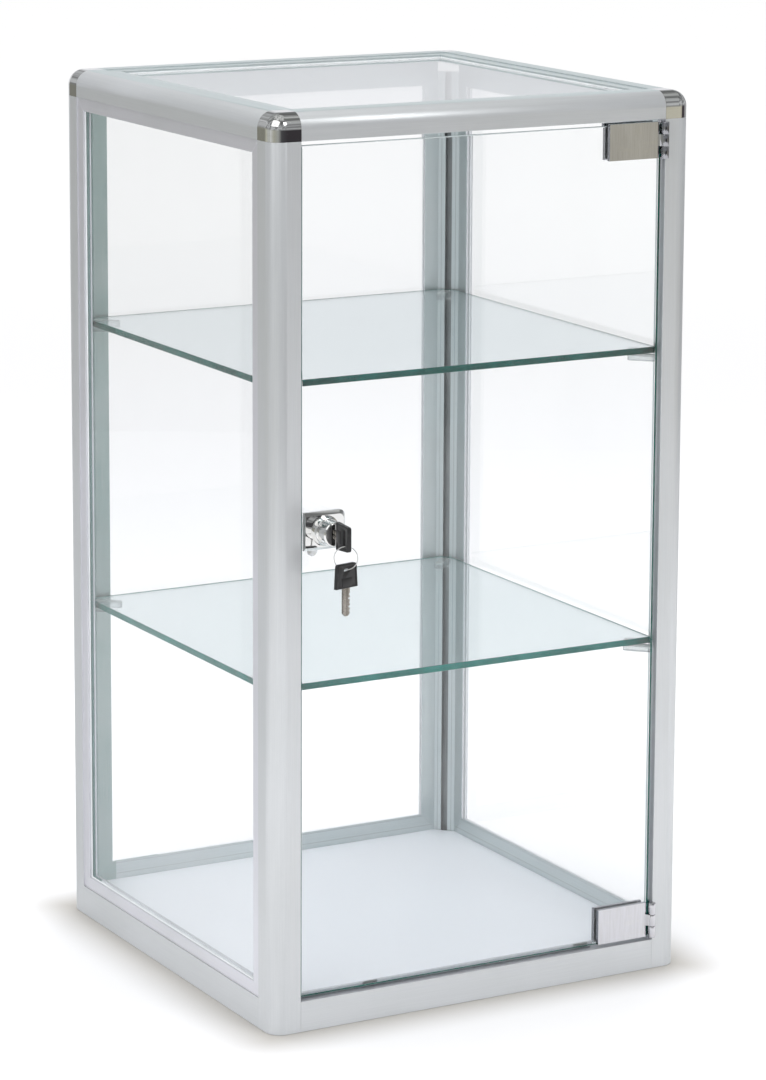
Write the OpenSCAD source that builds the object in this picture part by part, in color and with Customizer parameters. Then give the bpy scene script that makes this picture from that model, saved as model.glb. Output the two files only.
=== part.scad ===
// Countertop display case: glass panes in a round-edged aluminium frame, two glass shelves
// on adjustable clips, and a frameless glass door on two clamp hinges with a cam lock.
// Millimetres. +Z is up, the door faces -Y, and the origin is under the middle of the whole part.

/* [Case] */
// Width of the frame
case_w = 356; // [300:1:420]
// Depth of the frame, without the lock and key
case_d = 356; // [300:1:420]
// Height of the frame
case_h = 686; // [640:1:760]

/* [Frame] */
// Face width of a corner post, and plan width of a top rail
post_w = 23.5; // [22:0.5:26]
// Height of a top rail's outer face
rail_h = 20.5; // [19:0.5:24]
// Height of a bottom rail's outer face
sill_h = 23.5; // [22:0.5:28]
// Radius of the round outer edges
edge_r = 12; // [10:0.5:14]
// Depth of the frame from its outer face to its inner face
frame_t = 10; // [9.5:0.25:11]
// Wall of the extrusions
wall_t = 1.5; // [1.2:0.1:1.8]
// Width of the outer glazing flange
flange_w = 10; // [8:0.5:12]
// Width of the inner glazing flange
bead_w = 11.5; // [9:0.5:13]
// Thickness of both glazing flanges
flange_t = 1.5; // [1.2:0.1:1.8]
// Step from the outer face down to the outer flange
flange_set = 1; // [0.5:0.1:1.3]
// Depth of the front bottom rail
front_sill_d = 19; // [17:0.5:22]
// Width of the ledge that carries the base panel
ledge_w = 8; // [6:0.5:10]
// Reach of the corner pieces' arms into the rails and posts
corner_arm = 22; // [18:1:26]
// Reach of the foot connectors' arms into the bottom rails
foot_arm = 20; // [16:1:24]

/* [Post slot] */
// Width of the slot's mouth
slot_mouth = 5.5; // [5:0.25:6]
// Width of the slot behind its lips
slot_w = 9; // [8:0.25:9.5]
// Thickness of the slot's lips
slot_lip = 1.5; // [1.2:0.1:1.8]
// Depth of the slot from the chamfered face
slot_depth = 5.5; // [5:0.1:5.6]

/* [Glass] */
// Thickness of the fixed panes
pane_t = 4; // [3:0.5:4.5]
// Gap between a pane's edge and the frame
pane_edge_gap = 1; // [0.5:0.25:2]
// Thickness of the door glass
door_t = 5; // [4:0.5:6]
// Gap beside the door glass, left and right
door_gap_side = 2; // [1.8:0.1:3]
// Gap above the door glass
door_gap_top = 3.5; // [2:0.5:5]
// Gap below the door glass
door_gap_bottom = 2.5; // [2:0.25:4]

/* [Shelves] */
// Thickness of a shelf
shelf_t = 5; // [4:0.5:6]
// Height of the upper shelf's top face
upper_shelf_z = 488; // [480:1:520]
// Height of the lower shelf's top face
lower_shelf_z = 260; // [230:1:290]
// Distance from the frame's outer faces to the shelf's sides and back
shelf_inset = 14; // [12:0.5:18]
// Distance from the frame's front face to the shelf's front edge
shelf_front = 25; // [23.5:0.5:30]
// Length of a shelf clip from the post's chamfered face
clip_len = 25; // [20:1:30]
// Width of a shelf clip
clip_w = 8; // [6:0.5:9]
// Thickness of a shelf clip's bar
clip_t = 3.6; // [3:0.2:5]
// Thickness of the soft pad on a clip
clip_pad_t = 1.2; // [0.8:0.1:2]

/* [Base] */
// Height of the base panel's top face
base_top = 20.5; // [19:0.5:22]
// Thickness of the base panel
base_t = 10; // [8:0.5:12]
// Radius of a base screw's shank
base_screw_r = 1.75; // [1.5:0.05:2]

/* [Hinges] */
// Height of a hinge
hinge_h = 27.5; // [24:0.5:32]
// Width of a hinge's clamp plates
plate_w = 43.5; // [38:0.5:50]
// Thickness of the front clamp plate
plate_t = 3.2; // [3:0.1:4]
// Thickness of the back clamp plate
back_plate_t = 3; // [2.6:0.1:4]
// Thickness of the pads between metal and glass
pad_t = 0.5; // [0.4:0.1:1]
// Radius of the hinge barrel
barrel_r = 2.75; // [2.5:0.05:3]
// Radius of the hinge pin
pin_r = 1.25; // [1:0.05:1.5]
// Thickness of the frame leaf
leaf_t = 1.5; // [1.2:0.1:1.5]
// Gap from the top rail to the upper hinge
hinge_gap_top = 1.7; // [1:0.1:4]
// Gap from the bottom rail to the lower hinge
hinge_gap_bottom = 3.3; // [1:0.1:6]
// Radius of the small screws' shanks
screw_r = 1.5; // [1.2:0.05:1.6]

/* [Lock] */
// Height of the lock's axis
lock_z = 380; // [360:1:400]
// Distance from the frame's left face to the lock's axis
lock_in = 42.5; // [41:0.5:48]
// Width of the lock's plate
lock_w = 34; // [30:0.5:36]
// Height of the lock's plate
lock_h = 28.5; // [26:0.5:34]
// Thickness of the lock's plate
lock_plate_t = 4.5; // [4:0.25:6]
// Distance that the lock's nose stands in front of the frame
nose_out = 17.5; // [15:0.5:22]
// Radius of the lock's nose
nose_r = 9.2; // [8.8:0.1:10]
// Radius of the collar round the nose
collar_r = 11.5; // [11:0.1:12.5]
// Radius of the turning plug
plug_r = 6.5; // [6:0.1:6.8]
// Radius of the threaded body behind the glass
body_r = 8; // [7.8:0.1:8.2]
// Length of the cam from the lock's axis to its tip
cam_len = 23; // [22:0.5:25]
// Width of the cam
cam_w = 12; // [10:0.5:13]
// Thickness of the cam
cam_t = 2; // [1.5:0.1:2.2]
// Radius of the cam's hub
cam_hub_r = 8; // [7:0.25:8.5]
// Reach of the cam's screw into the plug
cam_screw_reach = 7; // [5:0.5:9]
// Room between the turned cam and the post's chamfered face
cam_gap = 3.2; // [2.5:0.1:4]

/* [Keys] */
// Length of a key's head
bow_len = 18; // [16:0.5:22]
// Width of a key's head at the blade
bow_w = 20.5; // [18:0.5:24]
// Width of a key's head at its far end
bow_end_w = 18.5; // [16:0.5:22]
// Thickness of a key's head
bow_t = 3.4; // [3:0.1:3.6]
// Length of the blade outside the lock, from the plug to the head
key_neck = 3; // [1:0.5:6]
// Whole length of a blade from the head to its tip
blade_len = 21; // [19:0.5:25]
// Width of a blade
blade_w = 6.4; // [5.6:0.1:7]
// Thickness of a blade
blade_t = 2; // [1.6:0.1:2.2]
// Distance from a head's far end to the middle of its slot
bow_slot_in = 5.5; // [5:0.1:7]
// Length of the slot in a head
bow_slot_len = 14; // [12:0.5:15]
// Width of the slot in a head
bow_slot_w = 4.4; // [4:0.1:5]
// Radius of the key ring to the middle of its wire
ring_r = 8.6; // [7.5:0.1:10]
// Radius of the key ring's wire
ring_wire_r = 0.6; // [0.5:0.05:0.6]

/* [Fits] */
// Clearance round spigots, nuts and panels
fit = 0.2; // [0.15:0.01:0.25]
// Radial clearance of turning pins, plugs and screws
run_fit = 0.05; // [0.03:0.01:0.08]
// Clearance between moving faces
move_gap = 0.3; // [0.3:0.05:0.4]

/* [Hidden] */
$fn = 64;

// Small overlap that joins pieces of one solid and clears cut faces
join = 0.01;
// How deep a flange is rooted in its extrusion
root = 1;

// Outer faces of the frame. The key stands in front, so the frame sits back from the middle.
front_reach = nose_out + key_neck + bow_len;
x_out = case_w / 2;
y_rear = (case_d + front_reach) / 2;
y_front = y_rear - case_d;

// Opening between posts and rails on each wall
open_w = case_w - 2 * post_w;
open_d = case_d - 2 * post_w;
open_h = case_h - rail_h - sill_h;

// Depths of the glazing channel from the outer face
channel_out = flange_set + flange_t;
channel_in = frame_t - flange_t;
pane_out = (channel_out + channel_in - pane_t) / 2;

// The post's inner corner is cut off by a chamfered face that holds the slot
slot_reach = post_w - 1;
slot_face = (frame_t + slot_reach) / sqrt(2);
panel_corner_gap = 1;
shelf_corner_gap = 1.5;

// Base panel's screws: reach into the panel, head, and place along each rail
base_screw_bite = base_t - 3;
base_screw_head_t = 2;
base_screw_spread = 0.35;

// Door glass
door_x0 = -x_out + post_w + door_gap_side;
door_x1 = x_out - post_w - door_gap_side;
door_z0 = sill_h + door_gap_bottom;
door_z1 = case_h - rail_h - door_gap_top;
door_out = 3.2;
door_back = door_out + door_t;

// Stop lip on the front bottom rail, behind the door's lower edge, and its bumpers
lip_out = door_back + 0.5;
lip_t = 1.5;
lip_h = door_gap_bottom + 2.5;
bumper_t = 0.4;
bumper_w = 12;

// Hinge axis stands in front of the frame, just inside the post's edge
hinge_x = x_out - post_w - 2.2;
hinge_out = barrel_r + 0.35;
hinge_y = y_front - hinge_out;
hinge_z = [sill_h + hinge_gap_bottom, case_h - rail_h - hinge_gap_top - hinge_h];
knuckle_h = hinge_h / 3;
plate_gap = 1.2;
plate_x1 = hinge_x - barrel_r - plate_gap;
plate_x0 = plate_x1 - plate_w;
plate_front = door_out - pad_t - plate_t;
back_front = door_back + pad_t;
clamp_pitch = plate_w / 2;
leaf_x = x_out - post_w - leaf_t;
leaf_in = frame_t - 0.5;
leaf_screw_len = 7;
leaf_screw_out = leaf_in / 2 + 1;
screw_head_r = 2.7;
screw_head_t = 1.2;
clamp_sink = 1.6;
clamp_head_t = 1.5;
clamp_skin = 1;
glass_hole_r = 3;

// Lock
lock_x = -x_out + lock_in;
lock_plate_front = door_out - pad_t - lock_plate_t;
lock_bevel = 2.5;
lock_corner_r = 5;
collar_t = 5.2;
lock_hole_r = body_r + 0.7;
nut_front = door_back + pad_t;
nut_t = 4;
nut_r = 12;
nut_cam_gap = 4;
cam_out = max(frame_t + slot_reach - lock_in + cam_len, nut_front + nut_t + nut_cam_gap) + cam_gap;
plug_head_r = 7.6;
plug_head_t = 1.2;
keyway_gap = 0.2;
keyway_depth = blade_len - key_neck + 2;
tenon_w = 6;
cam_screw_head_r = 4.5;
cam_screw_head_t = 1.5;

// Keys
hang_gap = 0.8;
ring_turn = -28;
spare_turn = -77;
head_y = y_front - nose_out - key_neck;
ring_y = head_y - bow_len + bow_slot_in;
ring_top_z = lock_z - bow_slot_len / 2 + ring_wire_r + hang_gap;
ring_z = ring_top_z - ring_r;
spare_z = ring_z - ring_r + ring_wire_r + hang_gap - (bow_len - bow_slot_in) - bow_slot_w / 2;
head_corner_r = 2;
blade_root = 6;
bit_pitch = 3;
bit_depths = [0.9, 1.5, 0.6, 1.3, 0.8];

// Puts a child drawn from an outer corner, X and Y inwards, at one of the four corners
module at_corner(right, rear) {
    translate([right ? x_out : -x_out, rear ? y_rear : y_front, 0])
        mirror([right ? 1 : 0, 0, 0])
            mirror([0, rear ? 1 : 0, 0])
                children();
}

// Puts a child drawn in a wall's opening, X along, Y up, Z inwards from the outer face
module at_wall(side) {
    if (side == "left")
        translate([-x_out, y_front + post_w, sill_h]) rotate([90, 0, 90]) children();
    if (side == "right")
        translate([x_out, y_front + post_w, sill_h]) mirror([1, 0, 0]) rotate([90, 0, 90]) children();
    if (side == "rear")
        translate([-x_out + post_w, y_rear, sill_h]) rotate([90, 0, 0]) children();
    if (side == "top")
        translate([-x_out + post_w, y_front + post_w, case_h]) mirror([0, 0, 1]) children();
}

function wall_len(side) = side == "left" || side == "right" ? open_d : open_w;
function wall_rise(side) = side == "top" ? open_d : open_h;

// Puts a rail's profile, X inwards and Y up, along one side of the case
module along_side(side) {
    if (side == "left")
        translate([-x_out, y_front + post_w, 0])
            mirror([0, 1, -1]) linear_extrude(open_d) children();
    if (side == "right")
        translate([x_out, y_front + post_w, 0]) mirror([1, 0, 0])
            mirror([0, 1, -1]) linear_extrude(open_d) children();
    if (side == "front")
        translate([-x_out + post_w, y_front, 0])
            rotate([90, 0, 90]) linear_extrude(open_w) children();
    if (side == "rear")
        translate([-x_out + post_w, y_rear, 0]) mirror([0, 1, 0])
            rotate([90, 0, 90]) linear_extrude(open_w) children();
}

// Turns what is measured up from the floor into what is measured down from the top
module from_top() {
    translate([0, 0, case_h]) mirror([0, 0, 1]) children();
}

// Angle section with a round outer corner, drawn in by inset on every side
module angle_section(w, h, inset) {
    leg = frame_t - 2 * inset;
    difference() {
        union() {
            translate([inset, inset]) square([w - 2 * inset, leg]);
            translate([inset, inset]) square([leg, h - 2 * inset]);
        }
        difference() {
            square(edge_r);
            translate([edge_r, edge_r]) circle(edge_r - inset);
        }
    }
}

// One mitred side of a glazing flange, with its root below the line Y = 0
module flange_side(len, width) {
    polygon([[0, -root], [len, -root], [len, 0], [len - width, width], [width, width], [0, 0]]);
}

module flange_edge(edge, len, rise, width) {
    if (edge == "bottom") flange_side(len, width);
    if (edge == "top") translate([0, rise]) mirror([0, 1]) flange_side(len, width);
    if (edge == "start") mirror([1, -1]) flange_side(rise, width);
    if (edge == "end") translate([len, 0]) mirror([1, 0]) mirror([1, -1]) flange_side(rise, width);
}

// Outer and inner glazing flange along one edge of a wall's opening
module flanges(side, edge) {
    at_wall(side) {
        translate([0, 0, flange_set]) linear_extrude(flange_t)
            flange_edge(edge, wall_len(side), wall_rise(side), flange_w);
        translate([0, 0, channel_in]) linear_extrude(flange_t)
            flange_edge(edge, wall_len(side), wall_rise(side), bead_w);
    }
}

// Slot section along the post's diagonal, X from the outer corner inwards
module slot_section() {
    rotate(45) {
        translate([slot_face - slot_lip - join, -slot_mouth / 2])
            square([slot_lip + 1, slot_mouth]);
        translate([slot_face - slot_depth, -slot_w / 2])
            square([slot_depth - slot_lip, slot_w]);
    }
}

module post_section() {
    difference() {
        union() {
            angle_section(post_w, post_w, 0);
            polygon([[frame_t - join, frame_t - join], [slot_reach, frame_t - join],
                     [slot_reach, frame_t], [frame_t, slot_reach], [frame_t - join, slot_reach]]);
        }
        angle_section(post_w, post_w, wall_t);
        slot_section();
    }
}

// Cuts the windows through which the foot connector's arms leave the post
module foot_windows() {
    window_w = frame_t - 2 * wall_t;
    for (swap = [0, 1])
        mirror([swap, -swap, 0])
            translate([post_w - wall_t - join, wall_t, -join])
                cube([wall_t + 2 * join, window_w, sill_h - wall_t]);
}

module post(right, rear) {
    side = right ? "right" : "left";
    color("silver") {
        at_corner(right, rear) difference() {
            linear_extrude(case_h - rail_h) post_section();
            foot_windows();
            if (right && !rear) leaf_screw_holes();
        }
        flanges(side, rear ? "end" : "start");
        if (rear) flanges("rear", right ? "end" : "start");
    }
}

// Holes for the hinge leaves' screws, in the corner frame of the front right post
module leaf_screw_holes() {
    for (z0 = hinge_z, k = [-1, 1])
        translate([post_w - leaf_screw_len, leaf_screw_out, z0 + hinge_h / 2 + k * knuckle_h])
            rotate([0, 90, 0]) cylinder(h = leaf_screw_len + 1, r = screw_r + run_fit);
}

module top_rail_section() {
    difference() {
        angle_section(post_w, rail_h, 0);
        angle_section(post_w, rail_h, wall_t);
    }
}

module top_rail(side) {
    color("silver") {
        from_top() along_side(side) top_rail_section();
        flanges("top", side == "left" ? "start" : side == "right" ? "end"
            : side == "rear" ? "top" : "bottom");
        if (side != "front") flanges(side, "top");
    }
}

// Closed box section with a ledge on its inner face
module sill_section(depth) {
    ledge_top = base_top - base_t;
    difference() {
        square([depth, sill_h]);
        translate([wall_t, wall_t]) square([depth - 2 * wall_t, sill_h - 2 * wall_t]);
    }
    translate([depth - join, ledge_top - wall_t]) square([ledge_w + join, wall_t]);
}

module bottom_rail(side) {
    depth = side == "front" ? front_sill_d : frame_t;
    color("silver") {
        difference() {
            along_side(side) sill_section(depth);
            base_screw_set(base_screw_r + fit, sill_h, 0);
        }
        if (side == "front")
            stop_lip();
        else
            flanges(side, "bottom");
    }
}

// Lip that the door closes against, from the left post to just short of the lower hinge
module stop_lip() {
    lip_x0 = -x_out + post_w;
    translate([lip_x0, y_front + lip_out, sill_h - join])
        cube([plate_x0 - 1 - lip_x0, lip_t, lip_h + join]);
}

// Block with three round outer edges that meet in a ball corner
module ball_corner_block(w, h) {
    translate([edge_r, edge_r, 0]) rotate([0, 0, 180]) rotate_extrude(angle = 90)
        intersection() {
            square([edge_r, h]);
            union() {
                translate([0, edge_r]) circle(edge_r);
                translate([0, edge_r]) square([edge_r, h]);
            }
        }
    translate([edge_r, 0, 0]) rotate([90, 0, 90]) linear_extrude(w - edge_r) round_rail(w, h);
    translate([0, edge_r, 0]) mirror([0, 1, -1]) linear_extrude(w - edge_r) round_rail(w, h);
}

// Full section with one round corner at the origin
module round_rail(w, h) {
    difference() {
        square([w, h]);
        difference() {
            square(edge_r);
            translate([edge_r, edge_r]) circle(edge_r);
        }
    }
}

// Polished corner: measured down from the top, with arms into both rails and the post
module corner_cap(right, rear) {
    color("gainsboro") difference() {
        from_top() at_corner(right, rear) {
            difference() {
                ball_corner_block(post_w, rail_h);
                translate([frame_t, frame_t, frame_t]) linear_extrude(rail_h)
                    polygon([[slot_reach - frame_t, 0], [post_w, 0], [post_w, post_w],
                             [0, post_w], [0, slot_reach - frame_t]]);
            }
            translate([0, 0, rail_h - join]) linear_extrude(corner_arm + join)
                angle_section(post_w, post_w, wall_t + fit);
            translate([post_w - join, 0, 0]) rotate([90, 0, 90]) linear_extrude(corner_arm + join)
                angle_section(post_w, rail_h, wall_t + fit);
            translate([0, post_w - join, 0]) mirror([0, 1, -1]) linear_extrude(corner_arm + join)
                angle_section(post_w, rail_h, wall_t + fit);
        }
        if (right && !rear) at_corner(right, rear) leaf_screw_holes();
    }
}

// Foot inside each post, with an arm into both bottom rails
module foot_connectors() {
    arm_w = frame_t - 2 * wall_t - 2 * fit;
    arm_h = sill_h - 2 * wall_t - 2 * fit;
    color("dimgray") for (right = [false, true], rear = [false, true])
        at_corner(right, rear) {
            linear_extrude(arm_h) angle_section(post_w, post_w, wall_t + fit);
            for (swap = [0, 1])
                mirror([swap, -swap, 0])
                    translate([post_w - wall_t - fit - join, wall_t + fit, wall_t + fit])
                        cube([wall_t + fit + foot_arm, arm_w, arm_h - wall_t - fit]);
        }
}

// Screws up through the ledges, two along each rail
module base_screw_set(r, h, z0) {
    side_in = frame_t + ledge_w / 2;
    front_in = front_sill_d + ledge_w / 2;
    for (k = [-1, 1]) {
        for (x = [x_out - side_in, side_in - x_out])
            translate([x, (y_front + y_rear) / 2 + k * open_d * base_screw_spread, z0])
                cylinder(h = h, r = r);
        for (y = [y_front + front_in, y_rear - side_in])
            translate([k * open_w * base_screw_spread, y, z0]) cylinder(h = h, r = r);
    }
}

module base_screws() {
    ledge_under = base_top - base_t - wall_t;
    color("gray") {
        base_screw_set(base_screw_r, wall_t + base_screw_bite + join, ledge_under - join);
        base_screw_set(base_screw_r * 2, base_screw_head_t, ledge_under - base_screw_head_t);
    }
}

// Cuts a panel's corners where they would meet the posts' chamfered faces
module corner_cuts(side_in, front_in, rear_in, gap) {
    line = frame_t + slot_reach + gap * sqrt(2);
    for (right = [false, true], rear = [false, true]) {
        in_y = rear ? rear_in : front_in;
        leg = line - side_in - in_y;
        if (leg > 0)
            at_corner(right, rear) translate([side_in, in_y, 0]) linear_extrude(case_h)
                polygon([[-1, -1], [leg + 1, -1], [-1, leg + 1]]);
    }
}

module base_panel() {
    side_in = frame_t + fit;
    front_in = front_sill_d + fit;
    color("aliceblue") difference() {
        translate([-x_out + side_in, y_front + front_in, base_top - base_t])
            cube([case_w - 2 * side_in, case_d - side_in - front_in, base_t]);
        corner_cuts(side_in, front_in, side_in, panel_corner_gap);
        base_screw_set(base_screw_r + run_fit, base_screw_bite + fit, base_top - base_t - join);
    }
}

module pane(side) {
    color("lightcyan", 0.3) at_wall(side)
        translate([pane_edge_gap, pane_edge_gap, pane_out]) cube([
            wall_len(side) - 2 * pane_edge_gap, wall_rise(side) - 2 * pane_edge_gap, pane_t]);
}

// Soft channel round a pane's edge, from flange to flange
module gasket(side) {
    len = wall_len(side);
    rise = wall_rise(side);
    lip = flange_w + 0.4;
    color("dimgray") at_wall(side) difference() {
        translate([0, 0, channel_out]) cube([len, rise, channel_in - channel_out]);
        translate([lip, lip, 0]) cube([len - 2 * lip, rise - 2 * lip, frame_t]);
        translate([pane_edge_gap, pane_edge_gap, pane_out])
            cube([len - 2 * pane_edge_gap, rise - 2 * pane_edge_gap, pane_t]);
    }
}

module shelf(top_z) {
    color("paleturquoise", 0.4) difference() {
        translate([-x_out + shelf_inset, y_front + shelf_front, top_z - shelf_t])
            cube([case_w - 2 * shelf_inset, case_d - shelf_front - shelf_inset, shelf_t]);
        corner_cuts(shelf_inset, shelf_front, shelf_inset, shelf_corner_gap);
    }
}

// Puts a child at each post's chamfered face, X along the diagonal into the case
module at_slots() {
    for (right = [false, true], rear = [false, true])
        at_corner(right, rear) rotate([0, 0, 45]) translate([slot_face, 0, 0]) children();
}

module clip_outline(len, w) {
    translate([0, -w / 2]) square([len - w / 2, w]);
    translate([len - w / 2, 0]) circle(w / 2);
}

module shelf_clips(top_z) {
    stem_w = slot_mouth - 2 * fit;
    stem_in = slot_lip + (slot_depth - slot_lip) / 2;
    z0 = top_z - shelf_t - clip_pad_t - clip_t;
    color("gainsboro") at_slots() {
        translate([fit, 0, z0]) linear_extrude(clip_t) clip_outline(clip_len - fit, clip_w);
        translate([-stem_in, -stem_w / 2, z0]) cube([stem_in + fit + join, stem_w, clip_t]);
    }
}

module clip_pads(top_z) {
    pad_in = 3;
    color("whitesmoke") at_slots()
        translate([pad_in, 0, top_z - shelf_t - clip_pad_t]) linear_extrude(clip_pad_t)
            clip_outline(clip_len - pad_in - 0.5, clip_w - 1);
}

// Nut behind the slot's lips that the clip's stem is screwed to
module clip_nuts(top_z) {
    nut_h = 12;
    deep = slot_depth - slot_lip - 2 * fit;
    stem_w = slot_mouth - 2 * fit;
    stem_in = (slot_depth - slot_lip) / 2 - fit;
    z0 = top_z - shelf_t - clip_pad_t - clip_t;
    color("gray") at_slots() difference() {
        translate([-slot_lip - fit - deep, -slot_w / 2 + fit, z0 + clip_t / 2 - nut_h / 2])
            cube([deep, slot_w - 2 * fit, nut_h]);
        translate([-slot_lip - fit - stem_in, -stem_w / 2, z0]) cube([stem_in + fit, stem_w, clip_t]);
    }
}

// Through holes of both hinges' clamp screws, between two depths from the front face
module clamp_holes(r, from, to) {
    for (z0 = hinge_z, k = [-1, 1])
        translate([(plate_x0 + plate_x1) / 2 + k * clamp_pitch / 2, y_front + from, z0 + hinge_h / 2])
            rotate([-90, 0, 0]) cylinder(h = to - from, r = r);
}

module lock_bore(r, from, to) {
    translate([lock_x, y_front + from, lock_z]) rotate([-90, 0, 0]) cylinder(h = to - from, r = r);
}

module door_glass() {
    color("lightcyan", 0.3) difference() {
        translate([door_x0, y_front + door_out, door_z0])
            cube([door_x1 - door_x0, door_t, door_z1 - door_z0]);
        clamp_holes(glass_hole_r, 0, frame_t);
        lock_bore(lock_hole_r, 0, frame_t);
    }
}

// Soft stops on the front rail's lip, which the door closes against
module door_bumpers() {
    color("whitesmoke") for (k = [-1, 1])
        translate([k * open_w * 0.3 - bumper_w / 2, y_front + lip_out - bumper_t, door_z0 + 0.3])
            cube([bumper_w, bumper_t, sill_h + lip_h - door_z0 - 0.5]);
}

module knuckle(z0, h, r, clear) {
    translate([hinge_x, hinge_y, z0]) cylinder(h = h, r = r + clear);
}

// Leaf on the post's inner side, with the outer two knuckles
module hinge_leaf(z0) {
    leaf_y0 = -hinge_out;
    color("gainsboro") difference() {
        union() {
            translate([leaf_x, y_front + leaf_y0, z0]) cube([leaf_t, leaf_in - leaf_y0, hinge_h]);
            knuckle(z0, hinge_h, barrel_r, 0);
        }
        knuckle(z0 + knuckle_h - move_gap / 2, knuckle_h + move_gap, barrel_r, move_gap);
        knuckle(z0 - join, hinge_h + 2 * join, pin_r, run_fit);
        for (k = [-1, 1])
            translate([leaf_x - join, y_front + leaf_screw_out, z0 + hinge_h / 2 + k * knuckle_h])
                rotate([0, 90, 0]) {
                    cylinder(h = leaf_t + 2 * join, r = screw_r + run_fit);
                    cylinder(h = screw_head_t + join, r1 = screw_head_r, r2 = screw_r + run_fit);
                }
    }
}

module hinge_leaf_screws() {
    color("gray") for (z0 = hinge_z, k = [-1, 1])
        translate([leaf_x, y_front + leaf_screw_out, z0 + hinge_h / 2 + k * knuckle_h])
            rotate([0, 90, 0]) {
                cylinder(h = screw_head_t, r1 = screw_head_r - run_fit, r2 = screw_r);
                cylinder(h = leaf_screw_len, r = screw_r);
            }
}

module hinge_pins() {
    color("gray") for (z0 = hinge_z) knuckle(z0, hinge_h, pin_r, 0);
}

// Front clamp plate with the middle knuckle, joined to it by a tapered web
module hinge_plate(z0) {
    web_z = z0 + knuckle_h + move_gap / 2;
    web_h = knuckle_h - move_gap;
    color("gainsboro") difference() {
        union() {
            translate([plate_x0, y_front + plate_front, z0]) cube([plate_w, plate_t, hinge_h]);
            knuckle(web_z, web_h, barrel_r, 0);
            translate([hinge_x, hinge_y, web_z]) linear_extrude(web_h)
                polygon([[-barrel_r - plate_gap - 1, hinge_out + plate_front + plate_t],
                         [-barrel_r - plate_gap - 1, hinge_out + plate_front],
                         [-barrel_r * 0.75, -barrel_r * 0.6], [barrel_r * 0.1, barrel_r * 0.9],
                         [-barrel_r * 0.4, hinge_out + plate_front + plate_t]]);
        }
        knuckle(z0 - join, hinge_h + 2 * join, pin_r, run_fit);
        clamp_holes(screw_r + run_fit, plate_front + clamp_skin, door_out);
    }
}

module hinge_back(z0) {
    color("gainsboro") difference() {
        translate([plate_x0, y_front + back_front, z0]) cube([plate_w, back_plate_t, hinge_h]);
        clamp_holes(screw_r + run_fit, door_back, back_front + back_plate_t + join);
        clamp_holes(screw_head_r + run_fit, back_front + back_plate_t - clamp_sink,
                    back_front + back_plate_t + join);
    }
}

// Thin pads on both faces of the glass under the clamp plates
module hinge_pads() {
    pad_in = 1;
    color("dimgray") difference() {
        for (z0 = hinge_z, y0 = [door_out - pad_t, door_back]) {
            z_low = max(z0 + pad_in, door_z0 + pad_in);
            z_high = min(z0 + hinge_h - pad_in, door_z1 - pad_in);
            translate([plate_x0 + pad_in, y_front + y0, z_low])
                cube([min(plate_x1, door_x1) - plate_x0 - 2 * pad_in, pad_t, z_high - z_low]);
        }
        clamp_holes(glass_hole_r, 0, frame_t + pad_t);
    }
}

module hinge_clamp_screws() {
    head_y0 = back_front + back_plate_t - clamp_sink;
    color("gray") {
        clamp_holes(screw_r, plate_front + clamp_skin + fit, head_y0 + join);
        clamp_holes(screw_head_r, head_y0, head_y0 + clamp_head_t);
    }
}

// Plate with a bevelled rim and round corners on the side away from the post
module lock_plate_outline(inset) {
    w = lock_w - inset;
    h = lock_h - 2 * inset;
    r = lock_corner_r - inset / 2;
    translate([0, -h / 2]) square([w - r, h]);
    for (k = [-1, 1])
        translate([w - r, k * (h / 2 - r)]) circle(r, $fn = 32);
}

module lock_plate() {
    slab = lock_plate_t - lock_bevel;
    x0 = max(door_x0 + 0.5, lock_x - lock_w / 2);
    color("gainsboro") difference() {
        translate([x0, y_front + door_out - pad_t, lock_z]) rotate([90, 0, 0]) hull() {
            linear_extrude(slab) lock_plate_outline(0);
            linear_extrude(lock_plate_t) lock_plate_outline(lock_bevel);
        }
        lock_bore(body_r + fit, -nose_out, frame_t);
    }
}

// Nose, collar and threaded body, bored for the plug
module lock_body() {
    cone_end = lock_plate_front - collar_t;
    color("gainsboro") difference() {
        union() {
            translate([lock_x, y_front + lock_plate_front, lock_z]) rotate([90, 0, 0])
                cylinder(h = collar_t, r1 = collar_r, r2 = nose_r + 0.6);
            lock_bore(nose_r, -nose_out + 1, cone_end + join);
            translate([lock_x, y_front - nose_out + 1, lock_z]) rotate([90, 0, 0])
                cylinder(h = 1, r1 = nose_r, r2 = nose_r - 1);
            lock_bore(body_r, cone_end, cam_out - 0.2);
        }
        lock_bore(plug_r + run_fit, -nose_out - join, cam_out);
        lock_bore(plug_head_r + run_fit, -nose_out - join, -nose_out + plug_head_t + 0.1);
    }
}

// Pads on both faces of the glass under the lock plate and the nut
module lock_pads() {
    x0 = max(door_x0 + 0.5, lock_x - lock_w / 2);
    color("dimgray") difference() {
        union() {
            translate([x0 + 1, y_front + door_out - pad_t, lock_z - lock_h / 2 + 1])
                cube([lock_w - 2 * lock_corner_r / 3, pad_t, lock_h - 2]);
            lock_bore(nut_r, door_back, door_back + pad_t);
        }
        lock_bore(body_r + fit, -nose_out, cam_out);
    }
}

module lock_nut() {
    color("gray") difference() {
        translate([lock_x, y_front + nut_front, lock_z]) rotate([-90, 0, 0])
            cylinder(h = nut_t, r = nut_r, $fn = 6);
        lock_bore(body_r + run_fit, 0, cam_out);
    }
}

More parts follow.
